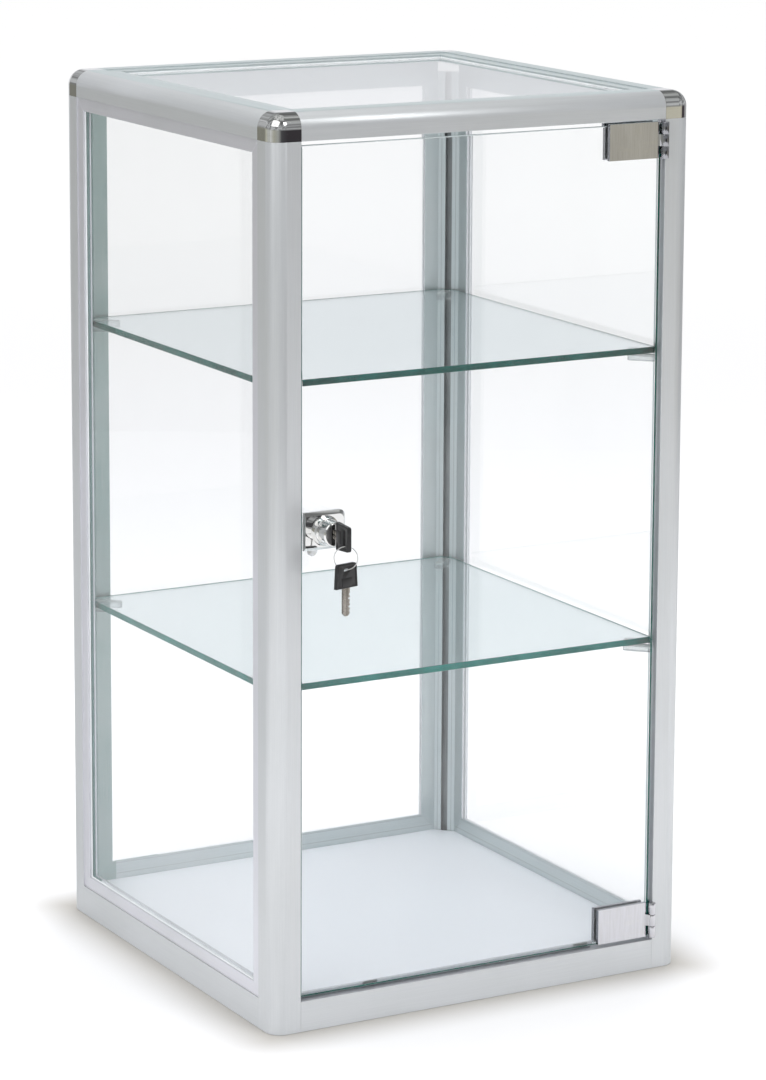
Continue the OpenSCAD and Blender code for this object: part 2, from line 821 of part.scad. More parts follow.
// Turning plug with its head, keyway, rear tenon and screw hole
module lock_plug() {
    way_w = blade_t + 2 * keyway_gap;
    way_h = blade_w + 2 * keyway_gap;
    color("darkgray") difference() {
        union() {
            lock_bore(plug_head_r, -nose_out, -nose_out + plug_head_t);
            lock_bore(plug_r, -nose_out + plug_head_t - join, cam_out - 0.1);
            translate([lock_x - tenon_w / 2, y_front + cam_out - 0.2, lock_z - tenon_w / 2])
                cube([tenon_w, cam_t + 0.2, tenon_w]);
        }
        translate([lock_x - way_w / 2, y_front - nose_out - join, lock_z - way_h / 2])
            cube([way_w, keyway_depth, way_h]);
        lock_bore(screw_r + run_fit, cam_out - cam_screw_reach - 1, cam_out + cam_t + join);
    }
}

module lock_cam() {
    hole = tenon_w + 2 * run_fit;
    color("gray") difference() {
        translate([lock_x, y_front + cam_out + cam_t, lock_z]) rotate([90, 0, 0])
            linear_extrude(cam_t) union() {
                circle(cam_hub_r);
                translate([-cam_w / 2, -cam_len]) square([cam_w, cam_len]);
            }
        translate([lock_x - hole / 2, y_front + cam_out - join, lock_z - hole / 2])
            cube([hole, cam_t + 2 * join, hole]);
    }
}

module cam_screw() {
    head_y = cam_out + cam_t + 0.1;
    color("gray") {
        lock_bore(screw_r, cam_out - cam_screw_reach, head_y + join);
        lock_bore(cam_screw_head_r, head_y, head_y + cam_screw_head_t);
    }
}

// Key's blade in its own plane: X from the head to the tip, Y across
module blade_outline() {
    half = blade_w / 2;
    first_bit = blade_len - 4 - bit_pitch * (len(bit_depths) - 1);
    difference() {
        polygon([[-blade_root, -half], [blade_len - 2, -half], [blade_len, -half * 0.3],
                 [blade_len, half * 0.3], [blade_len - 2, half], [-blade_root, half]]);
        for (i = [0 : len(bit_depths) - 1])
            translate([first_bit + i * bit_pitch, half])
                polygon([[-1.1, 0.1], [-0.4, -bit_depths[i]], [0.4, -bit_depths[i]], [1.1, 0.1]]);
    }
}

// Key's head in its own plane: X from the blade back to the far end at -bow_len
module head_outline() {
    difference() {
        intersection() {
            polygon([[0, -bow_w / 2], [0, bow_w / 2],
                     [-bow_len, bow_end_w / 2], [-bow_len, -bow_end_w / 2]]);
            union() {
                translate([-bow_len + head_corner_r, -bow_w / 2]) square([bow_len, bow_w]);
                translate([-bow_len, -bow_end_w / 2 + head_corner_r])
                    square([bow_len, bow_end_w - 2 * head_corner_r]);
                for (k = [-1, 1])
                    translate([-bow_len + head_corner_r, k * (bow_end_w / 2 - head_corner_r)])
                        circle(head_corner_r);
            }
        }
        translate([-bow_len + bow_slot_in - bow_slot_w / 2, -bow_slot_len / 2])
            square([bow_slot_w, bow_slot_len]);
    }
}

module blade() {
    color("rosybrown") translate([0, 0, -blade_t / 2]) linear_extrude(blade_t) blade_outline();
}

module head() {
    color("black") difference() {
        translate([0, 0, -bow_t / 2]) linear_extrude(bow_t) head_outline();
        translate([-blade_root, -blade_w / 2, -blade_t / 2]) cube([blade_root + 1, blade_w, blade_t]);
    }
}

module at_key() {
    translate([lock_x, head_y, lock_z]) rotate([90, 0, 90]) children();
}

module at_spare_key() {
    translate([lock_x, ring_y, spare_z]) rotate([0, 0, spare_turn]) rotate([0, 90, 0]) children();
}

module key_ring() {
    color("silver") translate([lock_x, ring_y, ring_z]) rotate([0, 0, ring_turn])
        rotate([90, 0, 0]) rotate_extrude() translate([ring_r, 0]) circle(ring_wire_r, $fn = 24);
}

post(false, false);  // front_left_post
post(true, false);  // front_right_post
post(false, true);  // rear_left_post
post(true, true);  // rear_right_post
top_rail("front");  // front_top_rail
top_rail("rear");  // rear_top_rail
top_rail("left");  // left_top_rail
top_rail("right");  // right_top_rail
bottom_rail("front");  // front_bottom_rail
bottom_rail("rear");  // rear_bottom_rail
bottom_rail("left");  // left_bottom_rail
bottom_rail("right");  // right_bottom_rail
corner_cap(false, false);  // front_left_cap
corner_cap(true, false);  // front_right_cap
corner_cap(false, true);  // rear_left_cap
corner_cap(true, true);  // rear_right_cap
foot_connectors();
base_panel();
base_screws();
pane("left");  // left_glass
pane("right");  // right_glass
pane("rear");  // rear_glass
pane("top");  // top_glass
gasket("left");  // left_gasket
gasket("right");  // right_gasket
gasket("rear");  // rear_gasket
gasket("top");  // top_gasket
shelf(upper_shelf_z);  // upper_shelf
shelf_clips(upper_shelf_z);  // upper_shelf_clips
clip_pads(upper_shelf_z);  // upper_clip_pads
clip_nuts(upper_shelf_z);  // upper_clip_nuts
shelf(lower_shelf_z);  // lower_shelf
shelf_clips(lower_shelf_z);  // lower_shelf_clips
clip_pads(lower_shelf_z);  // lower_clip_pads
clip_nuts(lower_shelf_z);  // lower_clip_nuts
door_glass();
door_bumpers();
hinge_leaf(hinge_z[1]);  // upper_hinge_leaf
hinge_leaf(hinge_z[0]);  // lower_hinge_leaf
hinge_pins();
hinge_leaf_screws();
hinge_plate(hinge_z[1]);  // upper_hinge_plate
hinge_plate(hinge_z[0]);  // lower_hinge_plate
hinge_back(hinge_z[1]);  // upper_hinge_back
hinge_back(hinge_z[0]);  // lower_hinge_back
hinge_pads();
hinge_clamp_screws();
lock_plate();
lock_body();
lock_pads();
lock_nut();
lock_plug();
lock_cam();
cam_screw();
at_key() blade();  // key_blade
at_key() head();  // key_head
key_ring();
at_spare_key() blade();  // spare_key_blade
at_spare_key() head();  // spare_key_head
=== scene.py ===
"""Looks of the countertop glass display case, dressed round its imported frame."""

import logging
import math
from collections.abc import Mapping, Sequence
from dataclasses import dataclass
from enum import Enum

import bmesh
import bpy
from mathutils import Matrix, Vector


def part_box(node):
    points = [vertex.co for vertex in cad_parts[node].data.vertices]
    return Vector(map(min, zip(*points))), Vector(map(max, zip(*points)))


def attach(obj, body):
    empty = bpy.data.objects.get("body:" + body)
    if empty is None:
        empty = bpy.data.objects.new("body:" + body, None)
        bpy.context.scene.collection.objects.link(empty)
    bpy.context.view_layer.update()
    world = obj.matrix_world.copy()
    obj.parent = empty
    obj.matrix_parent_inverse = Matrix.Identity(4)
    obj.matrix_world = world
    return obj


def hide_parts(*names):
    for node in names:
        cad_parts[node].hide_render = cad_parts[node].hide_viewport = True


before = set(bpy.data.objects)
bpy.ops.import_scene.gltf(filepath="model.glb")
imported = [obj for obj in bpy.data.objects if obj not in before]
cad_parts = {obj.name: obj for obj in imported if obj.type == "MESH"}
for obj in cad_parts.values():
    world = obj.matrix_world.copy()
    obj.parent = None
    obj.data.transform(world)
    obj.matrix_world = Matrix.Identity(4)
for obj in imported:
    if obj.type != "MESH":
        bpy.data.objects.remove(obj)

LOG = logging.getLogger("display_case")
MM = 0.001
CASE_HALF = 178 * MM
CASE_MIDDLE = 19.25 * MM
Triple = tuple[float, float, float]
Colour = Triple
Point = tuple[float, float]
Loop = Sequence[Point]


class Body(Enum):
    """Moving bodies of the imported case."""

    CASE = "case"
    UPPER_SHELF = "upper_shelf_set"
    LOWER_SHELF = "lower_shelf_set"
    DOOR = "door"
    CYLINDER = "lock_cylinder"
    KEY = "key"
    RING = "ring"
    SPARE_KEY = "spare_key"


class Slot(Enum):
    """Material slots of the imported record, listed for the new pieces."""

    GLASS = "clear_glass"
    BLACK = "black_plastic"
    ZINC = "zinc_steel"
    KEY = "key_metal"


class Axis(Enum):
    """Direction that a section was drawn along, or that a face looks along."""

    X = 0
    Y = 1
    Z = 2


class Field:
    """A number, colour or vector that changes over a surface: one output of a shader node."""

    def __init__(self, graph: "Graph", socket: bpy.types.NodeSocket) -> None:
        """Keeps the graph and the node's output."""
        self.graph = graph
        self.socket = socket

    def maths(self, operation: str, *others: "Field | float") -> "Field":
        """Applies one Math node to this field and further values."""
        return self.graph.maths(operation, self, *others)

    def __add__(self, other: "Field | float") -> "Field":
        """Adds."""
        return self.maths("ADD", other)

    __radd__ = __add__

    def __mul__(self, other: "Field | float") -> "Field":
        """Multiplies."""
        return self.maths("MULTIPLY", other)

    __rmul__ = __mul__

    def __sub__(self, other: "Field | float") -> "Field":
        """Takes the other value from this one."""
        return self.maths("SUBTRACT", other)

    def __rsub__(self, other: float) -> "Field":
        """Takes this field from a number."""
        return self.graph.maths("SUBTRACT", other, self)

    def __pow__(self, power: float) -> "Field":
        """Raises to a power."""
        return self.maths("POWER", power)

    def __abs__(self) -> "Field":
        """Drops the sign."""
        return self.maths("ABSOLUTE")

    def over(self, level: float) -> "Field":
        """Returns 1 where this field is above a level, and 0 elsewhere."""
        return self.maths("GREATER_THAN", level)

    def under(self, level: float) -> "Field":
        """Returns 1 where this field is not above a level, and 0 elsewhere."""
        return 1 - self.over(level)

    def within(self, low: float, high: float) -> "Field":
        """Returns 1 where this field is between two levels, and 0 elsewhere."""
        return self.over(low) * self.under(high)

    def ramp(self, low: float, high: float, start: float = 0.0, end: float = 1.0) -> "Field":
        """Turns the range from low to high smoothly into the one from start to end."""
        settings = {"interpolation_type": "SMOOTHSTEP"}
        return self.graph.node("ShaderNodeMapRange", settings, {0: self, 1: low, 2: high, 3: start, 4: end})


Parts = tuple[Field, Field, Field]


def rgba(colour: Colour | Field) -> tuple[float, ...] | Field:
    """Returns a colour as a socket takes it."""
    return colour if isinstance(colour, Field) else (*colour, 1.0)


class Graph:
    """The shader nodes of one material or world."""

    def __init__(self, owner: bpy.types.Material | bpy.types.World) -> None:
        """Empties a node tree.

        Args:
            owner: The material or world that holds the tree.
        """
        owner.use_nodes = True
        self.tree = owner.node_tree
        self.tree.nodes.clear()

    def node(
        self,
        kind: str,
        settings: Mapping[str, object] | None = None,
        sockets: Mapping[int | str, object] | None = None,
        output: int | str = 0,
    ) -> Field:
        """Makes one node.

        Args:
            kind: The node's type.
            settings: Its properties, and a ramp's places and colours under "stops".
            sockets: Values or fields for its inputs.
            output: The output that is returned.

        Returns:
            The output as a field.
        """
        made = self.tree.nodes.new(kind)
        for name, value in (settings or {}).items():
            if name == "stops":
                for _ in value[2:]:
                    made.color_ramp.elements.new(0.5)
                for element, (place, colour) in zip(made.color_ramp.elements, value):
                    element.position, element.color = place, (*colour, 1.0)
            else:
                setattr(made, name, value)
        for name, value in (sockets or {}).items():
            if isinstance(value, Field):
                self.tree.links.new(value.socket, made.inputs[name])
            else:
                made.inputs[name].default_value = value
        return Field(self, made.outputs[output] if made.outputs else None)

    def maths(self, operation: str, *values: Field | float) -> Field:
        """Applies one Math node to the values."""
        return self.node("ShaderNodeMath", {"operation": operation}, dict(enumerate(values)))

    def vector(self, operation: str, sockets: Mapping[int | str, object], output: int | str = 0) -> Field:
        """Applies one Vector Math node."""
        return self.node("ShaderNodeVectorMath", {"operation": operation}, sockets, output)

    def place(self) -> Field:
        """Returns the place on the object, in metres, as the piece was made."""
        return self.node("ShaderNodeTexCoord", output="Object")

    def ray(self, kind: str) -> Field:
        """Returns 1 for rays of a kind, and 0 for others."""
        return self.node("ShaderNodeLightPath", output=f"Is {kind} Ray")

    def split(self, vector: Field) -> Parts:
        """Returns a vector's three parts."""
        parts = self.node("ShaderNodeSeparateXYZ", sockets={0: vector})
        return tuple(Field(self, socket) for socket in parts.socket.node.outputs)

    def scaled(self, vector: Field, factors: Triple) -> Field:
        """Stretches a vector along the three axes."""
        return self.vector("MULTIPLY", {0: vector, 1: factors})

    def noise(self, vector: Field, scale: float, detail: float = 2.0, roughness: float = 0.5) -> Field:
        """Makes soft noise from 0 to 1, its scale in waves per metre, with finer layers."""
        sockets = {"Vector": vector, "Scale": scale, "Detail": detail, "Roughness": roughness}
        return self.node("ShaderNodeTexNoise", sockets=sockets)

    def mix(self, share: Field | float, low: Colour | Field, high: Colour | Field) -> Field:
        """Blends two colours: a share of 0 gives the first one, and 1 the second."""
        return self.node("ShaderNodeMix", {"data_type": "RGBA"}, {0: share, 6: rgba(low), 7: rgba(high)}, 2)

    def bump(self, height: Field, depth: float, strength: float = 0.5) -> Field:
        """Returns the normal of a relief that is depth metres deep."""
        sockets = {"Height": height, "Distance": depth, "Strength": strength}
        return self.node("ShaderNodeBump", sockets=sockets)

    def principled(self, colour: Field, roughness: Field | float, others: Mapping[str, object]) -> Field:
        """Returns the main surface shader, with its other sockets by name."""
        sockets = {"Base Color": colour, "Roughness": roughness, **others}
        return self.node("ShaderNodeBsdfPrincipled", sockets=sockets)


@dataclass(frozen=True)
class Finish:
    """How one kind of surface looks."""

    name: str

    def surface(self, graph: Graph) -> Field:
        """Makes the finish's shader in a graph and returns it."""
        raise NotImplementedError

    def material(self) -> bpy.types.Material:
        """Makes the finish's material at its first use.

        Returns:
            The material.
        """
        made = bpy.data.materials.get(self.name)
        if made is None:
            made = bpy.data.materials.new(self.name)
            graph = Graph(made)
            graph.node("ShaderNodeOutputMaterial", sockets={"Surface": self.surface(graph)})
        return made


@dataclass(frozen=True)
class PaintedCornerShade:
    """Painted shade of the rear left corner, which lies in the shade below the top rails; its colour stands
    in for that shade.
    """

    # colour of the painted shade
    colour: Colour
    low: float
    high: float
    back: float = 0.150
    below: float = 0.660

    def over(self, graph: Graph, parts: Parts, colour: Colour | Field) -> Field:
        """Returns a colour that turns into the painted shade colour at the corner."""
        inside = parts[0].within(self.low, self.high) * parts[1].over(self.back)
        return graph.mix(inside * parts[2].under(self.below), colour, self.colour)


@dataclass(frozen=True)
class SatinAluminium(Finish):
    """Drawn, blasted and anodised aluminium, paler and smoother on the glazing flanges, with painted shade
    in the posts' slots and in the rear left corner.
    """

    grain: Axis
    opening: Sequence[Point]
    inside: Sequence[Point]
    body_colour: Colour = (0.60, 0.617, 0.632)
    flange_colour: Colour = (0.68, 0.68, 0.73)
    inner_colour: Colour = (0.50, 0.565, 0.575)
    # near-black painted shade in the posts' slots; the fine lines take a share of it
    slot_shade_and_line_colour: Colour = (0.13, 0.155, 0.16)
    worn_colour: Colour = (0.55, 0.57, 0.575)
    line_colour: Colour = (0.84, 0.85, 0.86)
    # painted shade of the inner faces in the rear left corner
    corner: PaintedCornerShade = PaintedCornerShade((0.228, 0.335, 0.321), -1.0, -0.140)
    fine: float = 2600.0
    drawn_out: float = 18.0
    lines: Triple = (1.0, 3.0, 0.6)
    blast: Point = (3200.0, 1.0)
    cloud: Triple = (14.0, 3.0, 0.55)
    slot_deep: Point = (17.3 * MM, 22.4 * MM)
    slot_half: float = 4.7 * MM
    line_aside: float = 6 * MM
    line_heights: Sequence[float] = (25 * MM, 33.7 * MM)
    line_half: float = 0.3 * MM
    metallic: float = 0.62
    shine: float = 0.33

    def drawn(self, parts: Parts) -> tuple[Field, Field]:
        """Finds a post's slot, where shade is painted, and the fine lines that the die left on the inside.

        Args:
            parts: The place's three parts.

        Returns:
            1 in the slot, and 1 in the lines.
        """
        x, y, z = parts
        from_side = CASE_HALF - abs(x)
        from_end = CASE_HALF - abs(y - CASE_MIDDLE)
        deep = (from_side + from_end) * math.sqrt(0.5)
        aside = abs(from_side - from_end) * math.sqrt(0.5)
        slot = deep.within(*self.slot_deep) * aside.under(self.slot_half)
        if self.grain is Axis.Z:
            return slot, abs(aside - self.line_aside).under(self.line_half)
        low, high = (abs(z - height).under(self.line_half) for height in self.line_heights)
        return slot, low + high

    def surface(self, graph: Graph) -> Field:
        """Makes satin metal with drawing lines, blasted grain, a little wear, and painted shade in the
        posts' slots and the rear left corner.

        Args:
            graph: The nodes of its material.

        Returns:
            The shader.
        """
        place = graph.place()
        parts = graph.split(place)
        across, along, upward = (part.within(*span) for part, span in zip(parts, self.opening))
        flange = (across + along + upward).over(1.5)
        sideways, lengthways = (part.within(*span) for part, span in zip(parts, self.inside))
        stretch = [self.fine] * 3
        stretch[self.grain.value] = self.drawn_out
        lines = graph.noise(graph.scaled(place, tuple(stretch)), *self.lines)
        blast, cloud = graph.noise(place, *self.blast), graph.noise(place, *self.cloud)
        outer = graph.mix(flange, self.body_colour, self.flange_colour)
        slot, line = self.drawn(parts)
        # the slot gets its painted shade, the fine lines a share of it, and the rear left corner its own
        # painted shade
        inner = graph.mix(line * 0.45, self.corner.over(graph, parts, self.inner_colour), self.slot_shade_and_line_colour)
        tone = graph.mix(sideways * lengthways, outer, graph.mix(slot, inner, self.slot_shade_and_line_colour))
        worn = graph.mix(cloud.ramp(0.35, 0.7) * 0.3, tone, self.worn_colour)
        colour = graph.mix(lines.ramp(0.3, 0.75) * 0.16, worn, self.line_colour)
        roughness = self.shine + cloud * 0.07 + lines * 0.06 - flange * 0.05
        relief = graph.bump(lines * 0.6 + blast * 0.4, 0.012 * MM, 0.6)
        return graph.principled(colour, roughness, {"Metallic": self.metallic, "Normal": relief})


@dataclass(frozen=True)
class PolishedChrome(Finish):
    """Bright plating with wipe marks and fine hairlines."""

    colour: Colour = (0.80, 0.80, 0.79)
    wiped: Colour = (0.70, 0.69, 0.66)
    shine: float = 0.035
    wave: float = 0.007 * MM
    wipes: Triple = (60.0, 60.0, 170.0)
    hairs: Triple = (5200.0, 900.0, 260.0)

    def tint(self, graph: Graph, colour: Field) -> Field:
        """Returns the plating's colour, which is plain unless a finish changes it."""
        return colour

    def surface(self, graph: Graph) -> Field:
        """Makes plating with wipe marks and hairlines.

        Args:
            graph: The nodes of its material.

        Returns:
            The shader.
        """
        place = graph.place()
        smear = graph.noise(graph.scaled(place, self.wipes), 1.0, 4.0, 0.6).ramp(0.5, 0.8)
        hair = graph.noise(graph.scaled(place, self.hairs), 1.0).ramp(0.66, 0.74)
        colour = self.tint(graph, graph.mix(smear * 0.5, self.colour, self.wiped))
        roughness = self.shine + smear * 0.06 + hair * 0.09
        relief = graph.bump(graph.noise(place, 90.0), self.wave, 1.0)
        return graph.principled(colour, roughness, {"Metallic": 1.0, "Normal": relief})


@dataclass(frozen=True)
class HingeChrome(PolishedChrome):
    """Plating of the hinges, brushed, with a painted dark reflection on the cut sides and on the upper
    knuckles.
    """

    colour: Colour = (0.62, 0.62, 0.655)
    knuckle_side: float = 0.1487
    upper: float = 0.3
    # colour of the painted dark reflection
    dark: Colour = (0.16, 0.165, 0.18)
    worn: Colour = (0.46, 0.45, 0.44)
    brushing: Triple = (620.0, 0.0, 45.0)

    def tint(self, graph: Graph, colour: Field) -> Field:
        """Brushes the plating, and paints a dark reflection on the cut sides and the upper knuckles.

        Args:
            graph: The nodes of its material.
            colour: The plain plating.

        Returns:
            The plating's colour.
        """
        place = graph.place()
        x, _, z = graph.split(place)
        sideways, *_ = graph.split(graph.node("ShaderNodeTexCoord", output="Normal"))
        side = abs(sideways).ramp(0.80, 0.95)
        knuckle = x.over(self.knuckle_side)
        brushed = graph.noise(graph.scaled(place, self.brushing), 1.0, 3.0, 0.6)
        lined = graph.mix(brushed.ramp(0.3, 0.7) * 0.32, colour, self.worn)
        # painted dark reflection: most on the cut sides, about half on the upper knuckles
        shade = side * 0.85 * (1 - knuckle) + knuckle * z.over(self.upper) * 0.55
        return graph.mix(shade, lined, self.dark)


@dataclass(frozen=True)
class Mottled(Finish):
    """One colour clouded with another, with a fine relief."""

    colour: Colour
    spots: Colour
    cloud: Sequence[float]
    shown: Point | None
    shine: float
    shine_gain: float
    grain: Triple
    relief: Point
    share: float = 1.0
    rubbed: bool = False
    grain_detail: float = 2.0
    metallic: float = 1.0
    bending: float = 1.5
    clear: float = 0.0

    def surface(self, graph: Graph) -> Field:
        """Makes the clouded surface, rougher with the cloud, or with its spots where it is rubbed.

        Args:
            graph: The nodes of its material.

        Returns:
            The shader.
        """
        place = graph.place()
        cloud = graph.noise(place, *self.cloud)
        spots = cloud.ramp(*self.shown) if self.shown else cloud
        fine = graph.noise(graph.scaled(place, self.grain), 1.0, self.grain_detail)
        others = {"Metallic": self.metallic, "IOR": self.bending, "Transmission Weight": self.clear}
        return graph.principled(
            graph.mix(spots * self.share, self.colour, self.spots),
            self.shine + (spots if self.rubbed else cloud) * self.shine_gain,
            {**others, "Normal": graph.bump(fine, *self.relief)},
        )


@dataclass(frozen=True)
class ZincSteel(Mottled):
    """Plated steel of screws, nuts and the split ring."""

    colour: Colour = (0.66, 0.67, 0.68)
    spots: Colour = (0.52, 0.51, 0.47)
    cloud: Sequence[float] = (420.0, 4.0, 0.65)
    shown: Point | None = (0.4, 0.75)
    shine: float = 0.2
    shine_gain: float = 0.18
    grain: Triple = (2600.0, 2600.0, 2600.0)
    relief: Point = (0.01 * MM, 0.5)


@dataclass(frozen=True)
class NickelKey(Mottled):
    """Nickel-plated brass of a key's blade, milled along its length."""

    colour: Colour = (0.31, 0.29, 0.26)
    spots: Colour = (0.20, 0.175, 0.14)
    cloud: Sequence[float] = (500.0, 3.0)
    shown: Point | None = (0.45, 0.8)
    share: float = 0.7
    shine: float = 0.2
    shine_gain: float = 0.16
    grain: Triple = (4000.0, 700.0, 700.0)
    relief: Point = (0.02 * MM, 0.5)


@dataclass(frozen=True)
class BlackMoulding(Mottled):
    """Spark-textured black plastic with paler rubbed places."""

    colour: Colour = (0.010, 0.010, 0.011)
    spots: Colour = (0.035, 0.035, 0.037)
    cloud: Sequence[float] = (230.0, 4.0, 0.6)
    shown: Point | None = (0.5, 0.8)
    share: float = 0.6
    shine: float = 0.34
    shine_gain: float = 0.16
    rubbed: bool = True
    grain: Triple = (4200.0, 4200.0, 4200.0)
    relief: Point = (0.02 * MM, 0.6)
    metallic: float = 0.0


@dataclass(frozen=True)
class ClearMoulding(Mottled):
    """Clear plastic, milky where it is thick."""

    colour: Colour = (0.80, 0.84, 0.84)
    spots: Colour = (0.66, 0.72, 0.72)
    cloud: Sequence[float] = (160.0, 3.0)
    shown: Point | None = None
    shine: float = 0.18
    shine_gain: float = 0.12
    grain: Triple = (160.0, 160.0, 160.0)
    grain_detail: float = 3.0
    relief: Point = (0.04 * MM, 0.4)
    metallic: float = 0.0
    bending: float = 1.49
    clear: float = 0.35


@dataclass(frozen=True)
class ClearPane(Finish):
    """Float glass with a faint green cast and the slight wave of its faces."""

    cast: Colour = (0.982, 0.987, 0.992)
    lamp_share: Colour = (0.985, 0.989, 0.992)
    deepening: float = 1.6
    wave: float = 0.04 * MM

    def surface(self, graph: Graph) -> Field:
        """Makes glass that lamps shine through without their light being bent.

        Args:
            graph: The nodes of its material.

        Returns:
            The shader.
        """
        place = graph.place()
        deeper = tuple(part ** self.deepening for part in self.cast)
        colour = graph.mix(graph.noise(place, 5.0) * 0.5, self.cast, deeper)
        relief = graph.bump(graph.noise(place, 9.0, 1.0), self.wave, 0.3)
        glass = graph.principled(colour, 0.0, {"IOR": 1.5, "Transmission Weight": 1.0, "Normal": relief})
        clear = graph.node("ShaderNodeBsdfTransparent", sockets={0: rgba(self.lamp_share)})
        return graph.node("ShaderNodeMixShader", sockets={0: graph.ray("Shadow"), 1: glass, 2: clear})


@dataclass(frozen=True)
class GlassEdge(Finish):
    """Ground and polished edge, where glass shows its own green."""

    middle: float
    half: float
    across: Axis = Axis.Z
    dark: Colour = (0.001, 0.070, 0.055)
    pale: Colour = (0.005, 0.170, 0.140)
    lit: Colour = (0.70, 0.78, 0.77)
    lit_from: float = 1.0

    def surface(self, graph: Graph) -> Field:
        """Makes a green edge, paler at its two rims and where light falls on its top.

        Args:
            graph: The nodes of its material.

        Returns:
            The shader.
        """
        place = graph.place()
        parts = graph.split(place)
        rim = abs(parts[self.across.value] - self.middle).ramp(self.half * 0.62, self.half * 0.95)
        wander = graph.noise(place, 34.0, 4.0, 0.6)
        chatter = graph.noise(place, 900.0)
        shade = (wander.ramp(0.42, 0.72) * 0.45 + rim * 0.4 + chatter * 0.12).maths("MINIMUM", 1.0)
        colour = graph.mix(parts[2].over(self.lit_from), graph.mix(shade, self.dark, self.pale), self.lit)
        others = {"Specular IOR Level": 0.05, "Normal": graph.bump(chatter, 0.02 * MM)}
        return graph.principled(colour, 0.12 + wander * 0.14, others)


@dataclass(frozen=True)
class WhiteLaminate(Finish):
    """Satin melamine face of the base board."""

    colour: Colour = (0.93, 0.945, 0.995)
    speck_colour: Colour = (0.62, 0.65, 0.68)
    dimming: float = 0.97

    def surface(self, graph: Graph) -> Field:
        """Makes a white face with faint clouds, specks and orange peel.

        Args:
            graph: The nodes of its material.

        Returns:
            The shader.
        """
        place = graph.place()
        cloud = graph.noise(place, 9.0, 3.0)
        speck = graph.noise(place, 1500.0, 1.0).ramp(0.68, 0.76)
        tone = graph.mix(cloud, self.colour, tuple(part * self.dimming for part in self.colour))
        colour = graph.mix(speck * 0.12, tone, self.speck_colour)
        return graph.principled(
            colour, 0.36 + cloud * 0.12, {"Normal": graph.bump(graph.noise(place, 700.0), 0.03 * MM)}
        )


@dataclass(frozen=True)
class SoftRubber(Finish):
    """Matt extruded rubber, or a pale clear seal with a faint painted glow standing in for light on its
    lips.
    """

    colour: Colour = (0.80, 0.825, 0.84)
    painted_glow: float = 0.0
    bloom: float = 1.1
    # painted shade for the seal in the rear left corner, for its colour and its painted glow
    corner: PaintedCornerShade = PaintedCornerShade((0.20, 0.31, 0.295), -0.1725, -0.1)

    def surface(self, graph: Graph) -> Field:
        """Makes rubber with a faint bloom, a painted glow, and painted shade in the rear left corner.

        Args:
            graph: The nodes of its material.

        Returns:
            The shader.
        """
        place = graph.place()
        parts = graph.split(place)
        cloud = graph.noise(place, 60.0, 3.0)
        paler = tuple(part * self.bloom for part in self.colour)
        colour = self.corner.over(graph, parts, graph.mix(cloud.ramp(0.4, 0.8), self.colour, paler))
        # the emission is a painted glow, taking the painted shade colour in the rear left corner
        others = {
            "Normal": graph.bump(graph.noise(place, 1800.0, 1.0), 0.02 * MM),
            "Emission Color": self.corner.over(graph, parts, self.colour),
            "Emission Strength": self.painted_glow,
        }
        return graph.principled(colour, 0.55 + cloud * 0.2, others)


@dataclass(frozen=True)
class PaleFloor(Finish):
    """Plain white studio floor, a little less white where the lamps reach it, with a painted contact shadow
    round the case.
    """

    near: Colour = (0.79, 0.79, 0.80)
    far: Colour = (0.93, 0.93, 0.93)
    # colour of the painted contact shadow
    painted_shadow_colour: Colour = (0.38, 0.36, 0.325)
    behind: Colour = (0.48, 0.49, 0.50)
    painted_shadow_from: float = -0.015
    painted_shadow_to: float = 0.050
    painted_shadow_depth: float = 0.85

    def surface(self, graph: Graph) -> Field:
        """Makes the floor, with a painted soft shadow round the case that only the camera sees, and dimmer
        for shiny surfaces behind it.

        Args:
            graph: The nodes of its material.

        Returns:
            The shader.
        """
        place = graph.place()
        away = graph.vector("LENGTH", {0: place}, "Value")
        plain = graph.mix(away.ramp(1.4, 4.5), self.near, self.far)
        x, y, _ = graph.split(place)
        beside = (abs(x) - CASE_HALF).maths("MAXIMUM", 0.0)
        ahead = (abs(y - CASE_MIDDLE) - CASE_HALF).maths("MAXIMUM", 0.0)
        gap = (beside ** 2.0 + ahead ** 2.0) ** 0.5
        mirrored = graph.ray("Glossy") * (1 - graph.ray("Transmission"))
        dimmed = graph.mix(y.ramp(0.0, 0.4) * mirrored, plain, self.behind)
        # painted contact shadow round the case's footprint, for camera rays only
        painted_shadow = gap.ramp(self.painted_shadow_from, self.painted_shadow_to, self.painted_shadow_depth, 0.0) * graph.ray("Camera")
        return graph.principled(graph.mix(painted_shadow, dimmed, self.painted_shadow_colour), 0.9, {"Specular IOR Level": 0.1})


